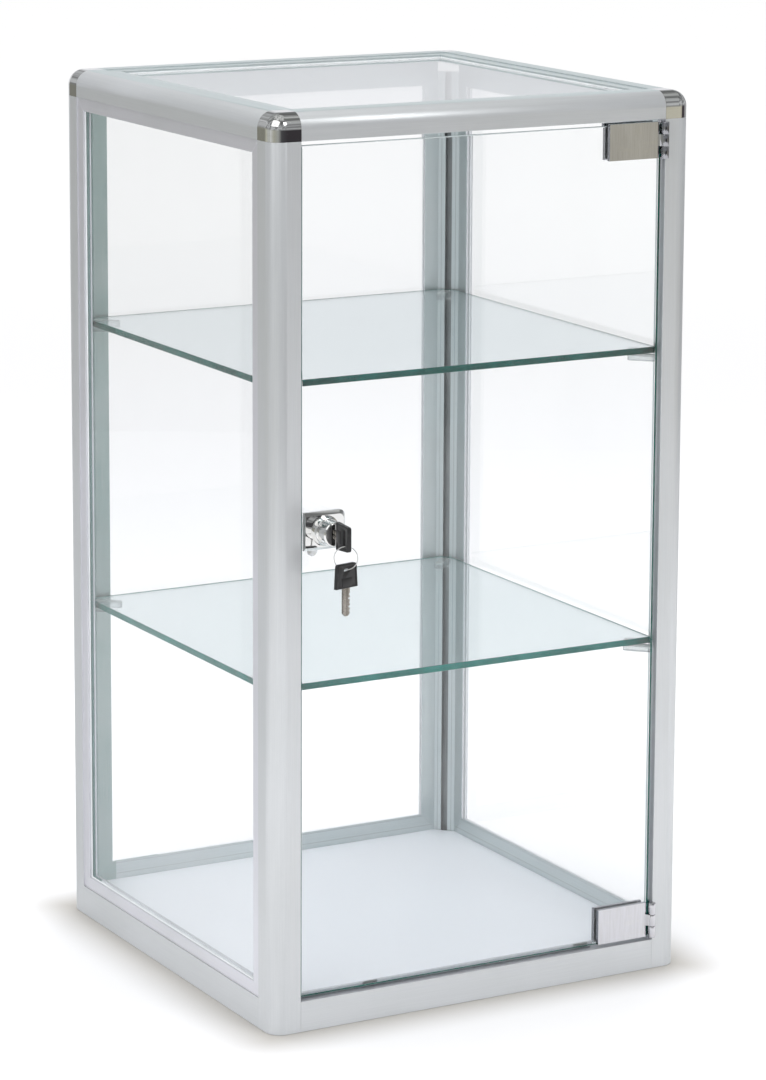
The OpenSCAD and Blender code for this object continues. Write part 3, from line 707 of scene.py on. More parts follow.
@dataclass(frozen=True)
class DimRoom(Finish):
    """What stands round the photographer: dark in front but for a beige strip, paler on both sides."""

    bands: Sequence[tuple[float, Colour]] = (
        (0.00, (0.66, 0.67, 0.67)), (0.07, (0.42, 0.42, 0.36)), (0.15, (0.34, 0.35, 0.34)),
        (0.20, (0.07, 0.07, 0.075)), (0.325, (0.04, 0.035, 0.04)), (0.34, (0.58, 0.56, 0.47)),
        (0.40, (0.55, 0.52, 0.43)), (0.42, (0.05, 0.045, 0.05)), (0.47, (0.06, 0.05, 0.06)),
        (0.50, (0.34, 0.34, 0.35)), (0.58, (0.44, 0.45, 0.46)), (0.66, (0.60, 0.61, 0.63)),
        (0.76, (0.86, 0.87, 0.90)), (0.80, (0.20, 0.20, 0.18)), (0.86, (0.26, 0.26, 0.22)),
        (0.90, (0.50, 0.50, 0.42)), (0.96, (0.50, 0.51, 0.49)),
    )
    pale_front: Colour = (0.80, 0.81, 0.82)
    pale_back: Colour = (0.42, 0.43, 0.44)
    above: Colour = (0.40, 0.41, 0.42)
    streaks: Triple = (45.0, 45.0, 9.0)

    def surface(self, graph: Graph) -> Field:
        """Makes a glowing wall: pale at its foot, banded above it, and cluttered at the top.

        Args:
            graph: The nodes of its material.

        Returns:
            The shader.
        """
        place = graph.place()
        x, y, z = graph.split(place)
        turn = y.maths("ARCTAN2", x) * (0.5 / math.pi) + 0.5
        wall = graph.node("ShaderNodeValToRGB", {"stops": self.bands}, {0: turn})
        pale = graph.mix(y.ramp(-0.5, 0.5), self.pale_front, self.pale_back)
        colour = graph.mix(z.ramp(0.52, 0.80), graph.mix(z.ramp(0.12, 0.26), pale, wall), self.above)
        streaks = graph.noise(graph.scaled(place, self.streaks), 1.0, 3.0).ramp(0.3, 0.7, 0.92, 1.06)
        clutter = graph.noise(place, 2.6).ramp(0.38, 0.62, 0.55, 1.3)
        strength = streaks * (z.ramp(0.50, 0.75) * (clutter - 1) + 1)
        return graph.node("ShaderNodeEmission", sockets={0: colour, 1: strength})


def place_object(name: str, data: bpy.types.ID) -> bpy.types.Object:
    """Puts a new object in the scene.

    Args:
        name: The object's name.
        data: Its mesh, camera or lamp.

    Returns:
        The object.
    """
    made = bpy.data.objects.new(name, data)
    bpy.context.scene.collection.objects.link(made)
    return made


def mesh_of(name: str, build: bmesh.types.BMesh) -> bpy.types.Mesh:
    """Turns what was built into a mesh.

    Args:
        name: The mesh's name.
        build: What was built, which is freed.

    Returns:
        The mesh.
    """
    mesh = bpy.data.meshes.new(name)
    build.to_mesh(mesh)
    build.free()
    return mesh


def mesh_of_curve(name: str, curve: bpy.types.Curve) -> bpy.types.Mesh:
    """Turns a curve with its thickness into a mesh.

    Args:
        name: The mesh's name.
        curve: The curve, which is removed.

    Returns:
        The mesh.
    """
    holder = bpy.data.objects.new(name + "_path", curve)
    mesh = bpy.data.meshes.new_from_object(holder)
    bpy.data.objects.remove(holder)
    bpy.data.curves.remove(curve)
    mesh.name = name
    return mesh


def shade_by_angle(mesh: bpy.types.Mesh, degrees: float = 32.0) -> None:
    """Shades a mesh smooth but for edges sharper than an angle."""
    mesh.polygons.foreach_set("use_smooth", [True] * len(mesh.polygons))
    mesh.set_sharp_from_angle(angle=math.radians(degrees))


def plate(
    name: str, loops: Sequence[Loop], thickness: float, arris: float, place: Matrix, crisp: bool = False
) -> bpy.types.Object:
    """Makes a flat plate with holes and rounded arrises.

    Args:
        name: The piece's name.
        loops: Its outline and then its holes, as closed loops in its own plane.
        thickness: Its thickness, half on either side of that plane.
        arris: How far the edges are eased.
        place: From the plate's own axes to the frame.
        crisp: Whether its faces stay flat to the arrises, as cut glass does.

    Returns:
        The new object.
    """
    curve = bpy.data.curves.new(name, "CURVE")
    curve.dimensions = "2D"
    curve.fill_mode = "BOTH"
    curve.extrude = thickness / 2 - arris
    curve.bevel_depth = arris
    curve.bevel_resolution = 1
    curve.offset = -arris
    for loop in loops:
        spline = curve.splines.new("POLY")
        spline.points.add(len(loop) - 1)
        spline.points.foreach_set("co", [part for x, y in loop for part in (x, y, 0.0, 1.0)])
        spline.use_cyclic_u = True
    mesh = mesh_of_curve(name, curve)
    mesh.transform(place)
    build = bmesh.new()
    build.from_mesh(mesh)
    bmesh.ops.remove_doubles(build, verts=build.verts, dist=1e-7)
    bmesh.ops.recalc_face_normals(build, faces=build.faces)
    build.to_mesh(mesh)
    build.free()
    if not crisp:
        shade_by_angle(mesh)
    return place_object(name, mesh)


def arc(x: float, y: float, radius: float, start: float, stop: float, steps: int = 24) -> list[Point]:
    """Returns points of an arc round a centre, from one angle in degrees to another."""
    turns = (math.radians(start + (stop - start) * k / steps) for k in range(steps + 1))
    return [(x + radius * math.cos(turn), y + radius * math.sin(turn)) for turn in turns]


def circle(x: float, y: float, radius: float, count: int = 48) -> list[Point]:
    """Returns a closed loop of points round a centre."""
    return arc(x, y, radius, 0.0, 360.0, count)[:-1]


def merge(name: str, parts: Sequence[bpy.types.Object]) -> bpy.types.Object:
    """Joins pieces into one.

    Args:
        name: The new piece's name.
        parts: The pieces, which are removed.

    Returns:
        The joined piece.
    """
    build = bmesh.new()
    for part in parts:
        build.from_mesh(part.data)
        bpy.data.objects.remove(part)
    mesh = mesh_of(name, build)
    shade_by_angle(mesh)
    return place_object(name, mesh)


def stack(
    name: str, place: Matrix, layers: Sequence[tuple[Sequence[Loop], float, float, float]]
) -> bpy.types.Object:
    """Makes one piece of flat plates.

    Args:
        name: The piece's name.
        place: The piece's own axes.
        layers: Each plate's loops, thickness, arris and height above the piece's own plane.

    Returns:
        The piece.
    """
    parts = []
    for loops, thickness, arris, height in layers:
        raised = place @ Matrix.Translation((0, 0, height))
        parts.append(plate(f"{name}_{len(parts)}", loops, thickness, arris, raised))
    return merge(name, parts)


def islands(mesh: bpy.types.Mesh) -> list[tuple[Vector, Vector]]:
    """Finds the separate solids of a mesh.

    Args:
        mesh: The mesh.

    Returns:
        The lowest and highest corner of each solid.
    """
    build = bmesh.new()
    build.from_mesh(mesh)
    bmesh.ops.remove_doubles(build, verts=build.verts, dist=1e-6)
    left = set(build.verts)
    boxes = []
    while left:
        reached = [left.pop()]
        for vert in reached:
            for edge in vert.link_edges:
                other = edge.other_vert(vert)
                if other in left:
                    left.remove(other)
                    reached.append(other)
        columns = list(zip(*(vert.co for vert in reached)))
        boxes.append((Vector(map(min, columns)), Vector(map(max, columns))))
    build.free()
    return sorted(boxes, key=lambda box: tuple(round(part, 5) for part in box[0]))


def cross_hole(arm: float, half: float) -> list[Point]:
    """Draws a cross recess.

    Args:
        arm: Length of its arms from the centre.
        half: Half their width.

    Returns:
        The closed loop.
    """
    loop = []
    for c, d in ((1, 0), (0, 1), (-1, 0), (0, -1)):
        loop += [(c * x - d * y, d * x + c * y) for x, y in ((arm, -half), (arm, half), (half, half))]
    return loop


def axes(origin: Sequence[float], across: Sequence[float], up: Sequence[float]) -> Matrix:
    """Returns the matrix to the frame from a piece's own axes, whose X points across and Y up."""
    x, y = Vector(across).normalized(), Vector(up).normalized()
    return Matrix.Translation(origin) @ Matrix((x, y, x.cross(y))).transposed().to_4x4()


@dataclass(frozen=True)
class Screw:
    """A pan head screw with a cross recess."""

    head_radius: float
    head_height: float
    shank_radius: float
    shank_length: float
    recess_depth: float = 0.55
    recess_arm: float = 0.58
    recess_half: float = 0.13

    def build(self, name: str, place: Matrix) -> bpy.types.Object:
        """Makes the screw.

        Args:
            name: The piece's name.
            place: Axes whose origin is under the head, with the third one out of the head.

        Returns:
            The screw as one piece.
        """
        cap = self.head_height * self.recess_depth
        floor = self.head_height - cap
        recess = cross_hole(self.head_radius * self.recess_arm, self.head_radius * self.recess_half)
        head, under = circle(0, 0, self.head_radius), circle(0, 0, self.head_radius - 0.05 * MM)
        shank = circle(0, 0, self.shank_radius, 24)
        layers = (
            ([under], floor, 0.03 * MM, floor / 2),
            ([head, recess], cap, min(cap * 0.45, 0.3 * MM), floor + cap / 2),
            ([shank], self.shank_length, 0.2 * MM, -self.shank_length / 2),
        )
        return stack(name, place, layers)


@dataclass
class Assembly:
    """A group of pieces that is dressed and reported together."""

    body: Body = Body.CASE

    def dress(self, node: str, finish: Finish, ease: float = 0.0) -> bpy.types.Object:
        """Gives a CAD node its finish, and eases its sharp edges as a real piece's are.

        Args:
            node: The node's name.
            finish: Its finish.
            ease: Width of the eased edges in metres, or 0 for none.

        Returns:
            The node's object.
        """
        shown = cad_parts[node]
        material = finish.material()
        if not shown.material_slots:
            shown.data.materials.append(material)
        for slot in shown.material_slots:
            slot.material = material
        if ease:
            shown.modifiers.new("weld", "WELD").merge_threshold = 1e-6
            bevel = shown.modifiers.new("ease", "BEVEL")
            bevel.width, bevel.segments = ease, 2
            bevel.limit_method, bevel.angle_limit = "ANGLE", math.radians(35)
            bevel.harden_normals, bevel.loop_slide = True, False
        LOG.info("dressed %s as %s", node, finish.name)
        return shown

    def keep(
        self, piece: bpy.types.Object, slot: Slot, finishes: Sequence[Finish], stands_for: str
    ) -> bpy.types.Object:
        """Finishes a new piece and ties it to the frame.

        Args:
            piece: The new piece.
            slot: The record's slot; not used.
            finishes: The materials of its slots, in order.
            stands_for: The CAD node that it replaces.

        Returns:
            The piece.
        """
        for finish in finishes:
            piece.data.materials.append(finish.material())
        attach(piece, self.body.value)
        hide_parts(stands_for)
        LOG.info("made %s for %s", piece.name, stands_for)
        return piece

    def drive(self, node: str, name: str, outward: Sequence[float], screw: Screw) -> bpy.types.Object:
        """Puts a detailed screw in the place of each screw of a CAD node.

        Args:
            node: The node that holds the screws.
            name: The new piece's name.
            outward: Where their heads face.
            screw: The screw to make.

        Returns:
            The screws as one piece.
        """
        out = Vector(outward)
        up = Vector((1, 0, 0)) if abs(out.z) > 0.5 else Vector((0, 0, 1))
        made = []
        for low, high in islands(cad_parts[node].data):
            reach = sum(abs(part) * (b - a) / 2 for part, a, b in zip(out, low, high))
            under = (low + high) / 2 + out * (reach - screw.head_height)
            made.append(screw.build(f"{name}_{len(made)}", axes(under, up.cross(out), up)))
        return self.keep(merge(name, made), Slot.ZINC, (ZincSteel("zinc_screw"),), node)

    @staticmethod
    def mark_edges(piece: bpy.types.Object, across: Axis, level: float = 0.9) -> None:
        """Gives the faces that don't look along an axis the piece's second material."""
        for face in piece.data.polygons:
            face.material_index = 0 if abs(face.normal[across.value]) > level else 1


@dataclass
class FrameWork(Assembly):
    """Posts, rails, corner pieces and the base of the case."""

    post_width: float = 23.5 * MM
    rail_height: float = 20.5 * MM
    sill_height: float = 23.5 * MM
    height: float = 686 * MM
    glazing_depth: float = 9.5 * MM
    ease: float = 0.25 * MM

    def satin(self, grain: Axis) -> SatinAluminium:
        """Describes the satin finish of sections drawn along an axis.

        Args:
            grain: The axis.

        Returns:
            The finish.
        """
        low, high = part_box("left_bottom_rail")
        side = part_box("right_bottom_rail")[1].x
        window, inner = side - self.post_width, side - self.glazing_depth
        reach = self.post_width - self.glazing_depth
        return SatinAluminium(
            f"satin_aluminium_{grain.name.lower()}",
            grain,
            ((-window, window), (low.y, high.y), (self.sill_height, self.height - self.rail_height)),
            ((-inner, inner), (low.y - reach, high.y + reach)),
        )

    def build(self) -> None:
        """Dresses the frame."""
        chrome = PolishedChrome("polished_corner", wave=0.05 * MM)
        for end in ("front", "rear"):
            for side in ("left", "right"):
                self.dress(f"{end}_{side}_post", self.satin(Axis.Z), self.ease)
                self.dress(f"{end}_{side}_cap", chrome)
        for side, grain in (("front", Axis.X), ("rear", Axis.X), ("left", Axis.Y), ("right", Axis.Y)):
            for level in ("top", "bottom"):
                self.dress(f"{side}_{level}_rail", self.satin(grain), self.ease)
        self.dress("foot_connectors", ZincSteel("foot_casting", (0.45, 0.45, 0.46)))
        self.dress("base_panel", WhiteLaminate("white_melamine"), 0.4 * MM)
        screw = Screw(3.5 * MM, 2 * MM, 1.75 * MM, 8.5 * MM)
        self.drive("base_screws", "base_pan_screws", (0, 0, -1), screw)
        self.dress("door_bumpers", ClearMoulding("clear_bumper", (0.95, 0.96, 0.96), clear=0.9))


@dataclass
class FixedGlass(Assembly):
    """Three glass walls and the glass top, each in its gasket."""

    play: float = 0.03 * MM

    def build(self) -> None:
        """Dresses the panes, and draws the gaskets in so that glass and rubber don't share a face."""
        for side in ("left", "right", "rear", "top"):
            self.dress(f"{side}_glass", ClearPane("clear_pane"))
            # the seals get a faint painted glow
            gasket = self.dress(f"{side}_gasket", SoftRubber("pale_seal", painted_glow=0.10))
            gasket.modifiers.new("weld", "WELD").merge_threshold = 1e-6
            inward = gasket.modifiers.new("play", "DISPLACE")
            inward.strength, inward.mid_level = -self.play, 0.0


@dataclass
class GlassShelf(Assembly):
    """One shelf on its four corner clips."""

    level: str = "upper"
    arris: float = 0.5 * MM
    corner_cut: float = 6.6 * MM
    cast: Colour = (0.85, 0.905, 0.905)
    edge_colours: Sequence[Colour] = ((0.001, 0.070, 0.055), (0.005, 0.170, 0.140))

    def build(self) -> None:
        """Makes the shelf's glass and dresses its clips."""
        low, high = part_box(f"{self.level}_shelf")
        inset, back = self.corner_cut, high.y - self.corner_cut
        front = [(low.x, low.y), (high.x, low.y)]
        outline = front + [(high.x, back), (high.x - inset, high.y), (low.x + inset, high.y), (low.x, back)]
        thickness, middle = high.z - low.z, (low.z + high.z) / 2
        place = Matrix.Translation((0, 0, middle))
        shelf = plate(f"{self.level}_shelf_glass", [outline], thickness, self.arris, place, crisp=True)
        self.mark_edges(shelf, Axis.Z)
        edge = GlassEdge(f"{self.level}_shelf_edge", middle, thickness / 2, Axis.Z, *self.edge_colours)
        pane = ClearPane(f"{self.level}_shelf_pane", self.cast)
        self.keep(shelf, Slot.GLASS, (pane, edge), f"{self.level}_shelf")
        clip = ClearMoulding("clip_plastic", (0.93, 0.95, 0.95), clear=0.75, shine=0.03)
        self.dress(f"{self.level}_shelf_clips", clip, 0.3 * MM)
        self.dress(f"{self.level}_clip_pads", ClearMoulding("clip_pad", (0.86, 0.88, 0.88)))
        self.dress(f"{self.level}_clip_nuts", ZincSteel("zinc_nut"))


@dataclass
class Door(Assembly):
    """Frameless door glass with its two clamp hinges."""

    body: Body = Body.DOOR
    arris: float = 0.5 * MM
    screw_hole: float = 3 * MM
    lock_hole: float = 8.7 * MM
    lock_axis: Point = (-135.5 * MM, 380 * MM)
    lit_rim: float = 1 * MM

    def build(self) -> None:
        """Makes the door's glass and dresses the hinges."""
        low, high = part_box("door_glass")
        loops = [
            [(low.x, low.z), (high.x, low.z), (high.x, high.z), (low.x, high.z)],
            circle(*self.lock_axis, self.lock_hole),
        ]
        for level in ("lower", "upper"):
            start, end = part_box(f"{level}_hinge_back")
            for share in (0.25, 0.75):
                x = start.x + (end.x - start.x) * share
                loops.append(circle(x, (start.z + end.z) / 2, self.screw_hole, 24))
        thickness, middle = high.y - low.y, (low.y + high.y) / 2
        upright = axes((0, middle, 0), (1, 0, 0), (0, 0, 1))
        glass = plate("door_pane", loops, thickness, self.arris, upright, crisp=True)
        self.mark_edges(glass, Axis.Y)
        edge = GlassEdge("door_edge", middle, thickness / 2, Axis.Y, lit_from=high.z - self.lit_rim)
        self.keep(glass, Slot.GLASS, (ClearPane("door_glass_clear"), edge), "door_glass")
        for level in ("upper", "lower"):
            for part, ease in (("plate", 0.3 * MM), ("back", 0.3 * MM), ("leaf", 0.2 * MM)):
                self.dress(f"{level}_hinge_{part}", HingeChrome("hinge_chrome"), ease)
        self.dress("hinge_pins", ZincSteel("zinc_pin"))
        clamp = Screw(2.7 * MM, 1.5 * MM, 1.5 * MM, 9.4 * MM)
        leaf = Screw(2.6 * MM, 0.5 * MM, 1.5 * MM, 6.4 * MM)
        self.drive("hinge_clamp_screws", "clamp_pan_screws", (0, 1, 0), clamp)
        self.body = Body.CASE
        self.drive("hinge_leaf_screws", "leaf_flat_screws", (-1, 0, 0), leaf)
        self.dress("hinge_pads", ClearMoulding("clear_pad", (0.95, 0.96, 0.96), clear=0.9))


@dataclass
class CamLock(Assembly):
    """Lock with its plate, nose, plug and cam."""

    body: Body = Body.CYLINDER
    hub_radius: float = 8 * MM
    end_radius: float = 3.9 * MM

    def build(self) -> None:
        """Dresses the lock."""
        for part, ease in (("plate", 0.3 * MM), ("body", 0.2 * MM), ("plug", 0.15 * MM)):
            self.dress(f"lock_{part}", PolishedChrome("lock_chrome"), ease)
        self.dress("lock_pads", SoftRubber("lock_pad_rubber", (0.06, 0.062, 0.064)))
        self.dress("lock_nut", ZincSteel("zinc_nut"), 0.3 * MM)
        self.keep(self.cam(), Slot.ZINC, (ZincSteel("zinc_cam"),), "lock_cam")
        self.drive("cam_screw", "cam_pan_screw", (0, 1, 0), Screw(4.5 * MM, 1.5 * MM, 1.5 * MM, 9.1 * MM))

    def cam(self) -> bpy.types.Object:
        """Makes the cam: a pressed arm that narrows to a round end.

        Returns:
            The cam.
        """
        low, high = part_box("lock_cam")
        middle = (low + high) / 2
        centre = Vector((middle.x, middle.y, high.z - self.hub_radius))
        drop = centre.z - low.z - self.end_radius
        lean = math.degrees(math.asin((self.hub_radius - self.end_radius) / drop))
        hub = arc(0.0, 0.0, self.hub_radius, -lean, 180 + lean)
        end = arc(0.0, -drop, self.end_radius, 180 + lean, 360 - lean)
        flat = axes(centre, (1, 0, 0), (0, 0, 1))
        return plate("cam_arm", [hub + end], high.y - low.y, 0.2 * MM, flat)


@dataclass
class Keys(Assembly):
    """Key in the lock, split ring and spare key."""

    head_end: Triple = (-135.5 * MM, -179.25 * MM, 380 * MM)
    spare_end: Triple = (-135.5 * MM, -191.75 * MM, 343.9 * MM)
    spare_turn: float = math.radians(13)
    head_length: float = 18 * MM
    head_width: float = 20.5 * MM
    head_end_width: float = 18.5 * MM
    head_thickness: float = 3.4 * MM
    slot_sizes: Sequence[Triple] = ((-12.5 * MM, 13.8 * MM, 3.4 * MM), (-13.3 * MM, 5.6 * MM, 2 * MM))
    rim_width: float = 1.7 * MM
    rim_rise: float = 0.35 * MM
    neck_span: Point = (-7.4 * MM, -0.6 * MM)
    neck_wall: float = 1.6 * MM
    blade_length: float = 21 * MM
    blade_root: float = 6 * MM
    blade_width: float = 6.4 * MM
    blade_thickness: float = 2 * MM
    web_step: float = 0.35 * MM
    groove_half: float = 0.5 * MM
    bit_pitch: float = 3 * MM
    bit_widths: Point = (1.02 * MM, 0.4 * MM)
    bits: Sequence[float] = (0.9 * MM, 1.5 * MM, 0.6 * MM, 1.3 * MM, 0.8 * MM)
    ring_radius: float = 8.6 * MM
    ring_lean: float = math.radians(-28)
    ring_turns: float = 1.94
    ring_start: float = math.radians(200)
    ring_points: int = 180
    crossing_from: float = 0.44
    crossing_length: float = 0.12
    wire_radius: float = 0.33 * MM
    coil_gap: float = 0.27 * MM

    def build(self) -> None:
        """Makes both keys and the ring."""
        turned = (math.cos(self.spare_turn), math.sin(self.spare_turn), 0.0)
        both = (
            ("", Body.KEY, axes(self.head_end, (0.0, 1.0, 0.0), (0.0, 0.0, 1.0))),
            ("spare_", Body.SPARE_KEY, axes(self.spare_end, (0.0, 0.0, -1.0), turned)),
        )
        for (prefix, body, place), sizes in zip(both, self.slot_sizes):
            self.body = body
            head = self.head(f"{prefix}key_grip", place, self.slot(*sizes))
            self.keep(head, Slot.BLACK, (BlackMoulding("key_head_black"),), f"{prefix}key_head")
            blade = self.blade(f"{prefix}key_bit", place)
            self.keep(blade, Slot.KEY, (NickelKey("key_nickel"),), f"{prefix}key_blade")
        self.body = Body.RING
        self.keep(self.ring(), Slot.ZINC, (ZincSteel("ring_steel", (0.72, 0.72, 0.72)),), "key_ring")

    def head_outline(self, inset: float, corner: float) -> list[Point]:
        """Draws the head's outline.

        Args:
            inset: How far inside the head's edge it runs.
            corner: Radius of the two far corners.

        Returns:
            The closed loop, with the blade's end at 0 and the far end below it.
        """
        half, far_half = self.head_width / 2 - inset, self.head_end_width / 2 - inset
        x, y = corner + inset - self.head_length, far_half - corner
        far = arc(x, y, corner, 90, 180, 6) + arc(x, -y, corner, 180, 270, 6)
        return [(-inset, -half), (-inset, half)] + far

    @staticmethod
    def slot(centre: float, length: float, width: float) -> list[Point]:
        """Returns the outline of the ring's slot, its centre counted from the blade's end."""
        radius, reach = width / 2, (length - width) / 2
        return arc(centre, reach, radius, 0, 180, 8) + arc(centre, -reach, radius, 180, 360, 8)

    def head(self, name: str, place: Matrix, slot: Loop) -> bpy.types.Object:
        """Makes a moulded head: a slotted core, a raised rim and a neck round the blade.

        Args:
            name: The piece's name.
            place: The key's own axes.
            slot: Outline of the ring's slot.

        Returns:
            The head as one piece.
        """
        thick, half = self.head_thickness, self.blade_width / 2 + self.neck_wall
        back, front = self.neck_span
        core = [self.head_outline(0.5 * MM, 1.6 * MM), slot]
        rim = [self.head_outline(0.0, 2 * MM), self.head_outline(self.rim_width, 1 * MM)]
        neck = [[(back, -half), (front, -half), (front, half), (back, half)]]
        layers = (
            (core, thick - 2 * self.rim_rise, 0.25 * MM, 0.0),
            (rim, thick, 0.45 * MM, 0.0),
            (neck, thick, 0.4 * MM, 0.0),
        )
        return stack(name, place, layers)

    def blade(self, name: str, place: Matrix) -> bpy.types.Object:
        """Makes a blade: a thin web with two milled ribs, one of them cut for the lock.

        Args:
            name: The piece's name.
            place: The key's own axes.

        Returns:
            The blade as one piece.
        """
        root, half, tip, gap = -self.blade_root, self.blade_width / 2, self.blade_length, self.groove_half
        nose, point = tip - 2 * MM, half * 0.3
        wide, narrow = self.bit_widths
        cuts = []
        for k, depth in enumerate(reversed(self.bits)):
            x, low = tip - 4 * MM - k * self.bit_pitch, half - depth
            cuts += [(x + wide, half), (x + narrow, low), (x - narrow, low), (x - wide, half)]
        edge = [(nose, half), *cuts, (root, half)]
        whole = [(root, -half), (nose, -half), (tip, -point), (tip, point), *edge]
        cut_rib = [(root, gap), (tip - 0.4 * MM, gap), (tip, point), *edge]
        plain_rib = [(root, -half), (nose, -half), (tip, -point), (tip - 0.2 * MM, -gap), (root, -gap)]
        layers = (
            ([whole], self.blade_thickness - 2 * self.web_step, 0.05 * MM, 0.0),
            ([cut_rib], self.blade_thickness, 0.12 * MM, 0.0),
            ([plain_rib], self.blade_thickness, 0.12 * MM, 0.0),
        )
        return stack(name, place, layers)

    def ring(self) -> bpy.types.Object:
        """Makes the split ring: two turns of wire side by side.

        Returns:
            The ring.
        """
        low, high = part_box("key_ring")
        centre = (low + high) / 2
        across = Vector((math.cos(self.ring_lean), math.sin(self.ring_lean), 0.0))
        side = Vector((-across.y, across.x, 0.0))
        curve = bpy.data.curves.new("split_ring", "CURVE")
        curve.dimensions = "3D"
        curve.bevel_depth = self.wire_radius
        curve.bevel_resolution = 3
        curve.use_fill_caps = True
        spline = curve.splines.new("POLY")
        spline.points.add(self.ring_points - 1)
        for k, point in enumerate(spline.points):
            share = k / (self.ring_points - 1)
            turn = 2 * math.pi * self.ring_turns * share + self.ring_start
            crossed = min(1.0, max(0.0, (share - self.crossing_from) / self.crossing_length))
            off = self.coil_gap * (2 * crossed * crossed * (3 - 2 * crossed) - 1)
            place = centre + across * self.ring_radius * math.cos(turn) + side * off
            place.z += self.ring_radius * math.sin(turn)
            point.co = (*place, 1.0)
        mesh = mesh_of_curve("split_ring", curve)
        shade_by_angle(mesh, 50)
        return place_object("split_ring", mesh)


@dataclass
class Camera:
    """Camera at the photograph's viewing angle."""

    azimuth: float = math.radians(29.048)
    pitch: float = math.radians(10.405)
    roll: float = math.radians(0.262)
    distance: float = 3100.4 * MM
    aside: float = 10.15 * MM
    height: float = 452.2 * MM
    focal_pixels: float = 3977.8
    centre_row: float = 378.0
    picture_height: float = 1080.0
    sensor: float = 36.0
    clip: Point = (0.05, 60.0)

    def build(self) -> None:
        """Makes the camera and hands it to the scene."""
        data = bpy.data.cameras.new("camera")
        camera = place_object("camera", data)
        data.sensor_width = self.sensor
        data.lens = self.sensor * self.focal_pixels / self.picture_height
        data.shift_y = self.centre_row / self.picture_height - 0.5
        data.clip_start, data.clip_end = self.clip
        middle = Matrix.Translation((0.0, CASE_MIDDLE, self.height))
        heading = Matrix.Rotation(-self.azimuth, 4, "Z") @ Matrix.Translation((self.aside, 0.0, 0.0))
        tilt = Matrix.Rotation(math.pi / 2 - self.pitch, 4, "X") @ Matrix.Rotation(self.roll, 4, "Z")
        camera.matrix_world = middle @ heading @ tilt @ Matrix.Translation((0.0, 0.0, self.distance))
        bpy.context.scene.camera = camera


@dataclass(frozen=True)
class Lamp:
    """One soft square lamp, which shiny surfaces may show."""

    name: str
    place: Triple
    target: Triple
    width: float
    power: float
    mirrored: bool = True

    def build(self) -> None:
        """Adds the lamp to the scene."""
        data = bpy.data.lights.new(self.name, "AREA")
        data.shape = "SQUARE"
        data.size, data.energy = self.width, self.power
        lamp = place_object(self.name, data)
        lamp.location = self.place
        lamp.rotation_mode = "QUATERNION"
        lamp.rotation_quaternion = (Vector(self.target) - Vector(self.place)).to_track_quat("-Z", "Y")
        lamp.visible_glossy = self.mirrored


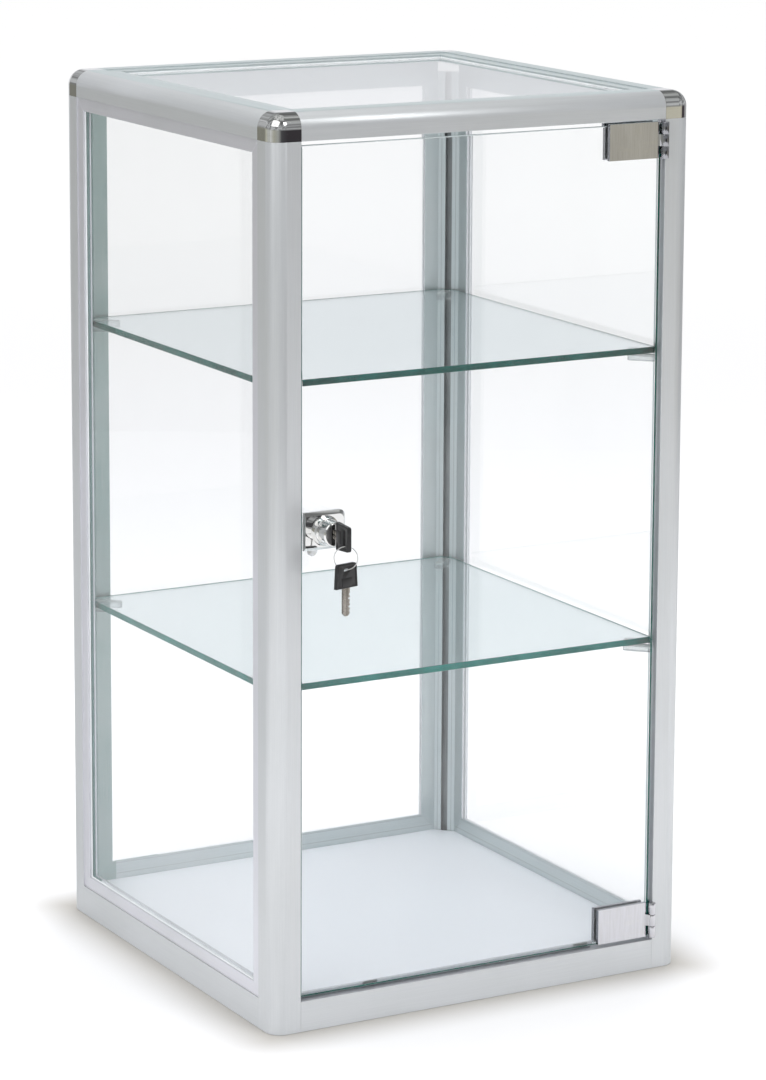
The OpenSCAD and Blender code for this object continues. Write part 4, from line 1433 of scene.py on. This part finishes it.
@dataclass
class Studio:
    """Plain white floor, even light from all round, soft lamps and the dim room that chrome shows."""

    floor_radius: float = 16.0
    floor_drop: float = 0.2 * MM
    room_radius: float = 1.75
    room_heights: Point = (0.10, 1.25)
    room_gap: Point = (40.0, 106.0)
    sides: int = 96
    lamps: Sequence[Lamp] = (
        Lamp("key_softbox", (-1.60, -0.86, 1.90), (-0.15, -0.12, 0.62), 1.9, 11.5),
        Lamp("fill_softbox", (0.37, -1.54, 1.85), (-0.10, -0.15, 0.60), 0.55, 6.0),
        Lamp("top_softbox", (0.1, 0.3, 2.1), (0.0, 0.0, 0.5), 1.5, 20.0, mirrored=False),
    )
    ceiling: Sequence[tuple[float, Colour]] = (
        (0.0, (0.86, 0.87, 0.90)), (0.22, (0.80, 0.81, 0.84)), (0.42, (0.36, 0.37, 0.38)),
        (0.80, (0.30, 0.31, 0.31)), (1.0, (0.62, 0.63, 0.63)),
    )
    low_light: Colour = (0.45, 0.45, 0.45)
    high_light: Colour = (1.2, 1.2, 1.2)

    def build(self) -> None:
        """Makes the floor, the world, the room and the lamps."""
        build = bmesh.new()
        bmesh.ops.create_circle(build, cap_ends=True, segments=self.sides, radius=self.floor_radius)
        floor = self.stage("floor", build, PaleFloor("studio_floor"))
        floor.location.z = -self.floor_drop
        self.light_world()
        self.hang_room()
        for lamp in self.lamps:
            lamp.build()

    @staticmethod
    def stage(name: str, build: bmesh.types.BMesh, finish: Finish) -> bpy.types.Object:
        """Adds a piece of the studio.

        Args:
            name: Its name.
            build: Its shape.
            finish: Its finish.

        Returns:
            The piece.
        """
        piece = place_object(name, mesh_of(name, build))
        piece.data.materials.append(finish.material())
        return piece

    def light_world(self) -> None:
        """Lights the world: white where it is seen, even for matt surfaces, busy for shiny ones."""
        world = bpy.data.worlds.new("studio")
        bpy.context.scene.world = world
        graph = Graph(world)
        sky = graph.node("ShaderNodeTexCoord", output="Generated")
        sideways, _, upward = graph.split(sky)
        sides = abs(sideways).ramp(0.35, 0.95, 1.08, 0.72) - sideways.ramp(0.45, 0.95, 0.0, 0.22)
        level = graph.mix(upward.ramp(0.0, 0.6), self.low_light, self.high_light)
        even = graph.vector("SCALE", {0: level, "Scale": sides})
        ceiling = graph.node("ShaderNodeValToRGB", {"stops": self.ceiling}, {0: upward})
        clutter = graph.noise(sky, 3.2, 3.0, 0.6).ramp(0.38, 0.62, 0.45, 1.35)
        overhead = upward.ramp(0.25, 0.45)
        busy = graph.vector("SCALE", {0: ceiling, "Scale": overhead * (clutter - 1) + 1})
        shiny = graph.ray("Glossy")
        clear = (graph.ray("Camera") + graph.ray("Transmission")).maths("MINIMUM", 1.0) * (1 - shiny)
        shown = graph.mix(clear, graph.mix(shiny, even, busy), (1.0, 1.0, 1.0))
        light = graph.node("ShaderNodeBackground", sockets={0: shown, 1: 1.0})
        graph.node("ShaderNodeOutputWorld", sockets={"Surface": light})

    def hang_room(self) -> None:
        """Hangs a ring of dim wall round the case, open behind it, which only shiny surfaces show."""
        build = bmesh.new()
        low, high = (
            [build.verts.new((x, y, height)) for x, y in circle(0.0, 0.0, self.room_radius, self.sides)]
            for height in self.room_heights
        )
        for k in range(self.sides):
            if not self.room_gap[0] < 360.0 * k / self.sides < self.room_gap[1]:
                after = (k + 1) % self.sides
                build.faces.new((low[k], low[after], high[after], high[k]))
        room = self.stage("room", build, DimRoom("studio_room"))
        for seen_by in ("camera", "diffuse", "transmission", "shadow", "volume_scatter"):
            setattr(room, f"visible_{seen_by}", False)


def main() -> None:
    """Builds the scene."""
    logging.basicConfig(level=logging.INFO, format="%(message)s")
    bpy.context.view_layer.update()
    Camera().build()
    Studio().build()
    FrameWork().build()
    FixedGlass().build()
    GlassShelf(Body.UPPER_SHELF, "upper").build()
    # The lower shelf is the same glass as the upper one: its deeper cast is painted shade, and its paler
    # edge colours are painted light.
    lower_edge_painted_light = ((0.004, 0.150, 0.125), (0.015, 0.270, 0.230))
    GlassShelf(Body.LOWER_SHELF, "lower", cast=(0.79, 0.86, 0.865), edge_colours=lower_edge_painted_light).build()
    Door().build()
    CamLock().build()
    Keys().build()
    scene = bpy.context.scene
    scene.view_settings.view_transform = "Standard"
    scene.cycles.max_bounces = 24
    scene.cycles.transmission_bounces = 20
    scene.cycles.transparent_max_bounces = 24
    scene.cycles.glossy_bounces = 8


if __name__ == "__main__":
    main()
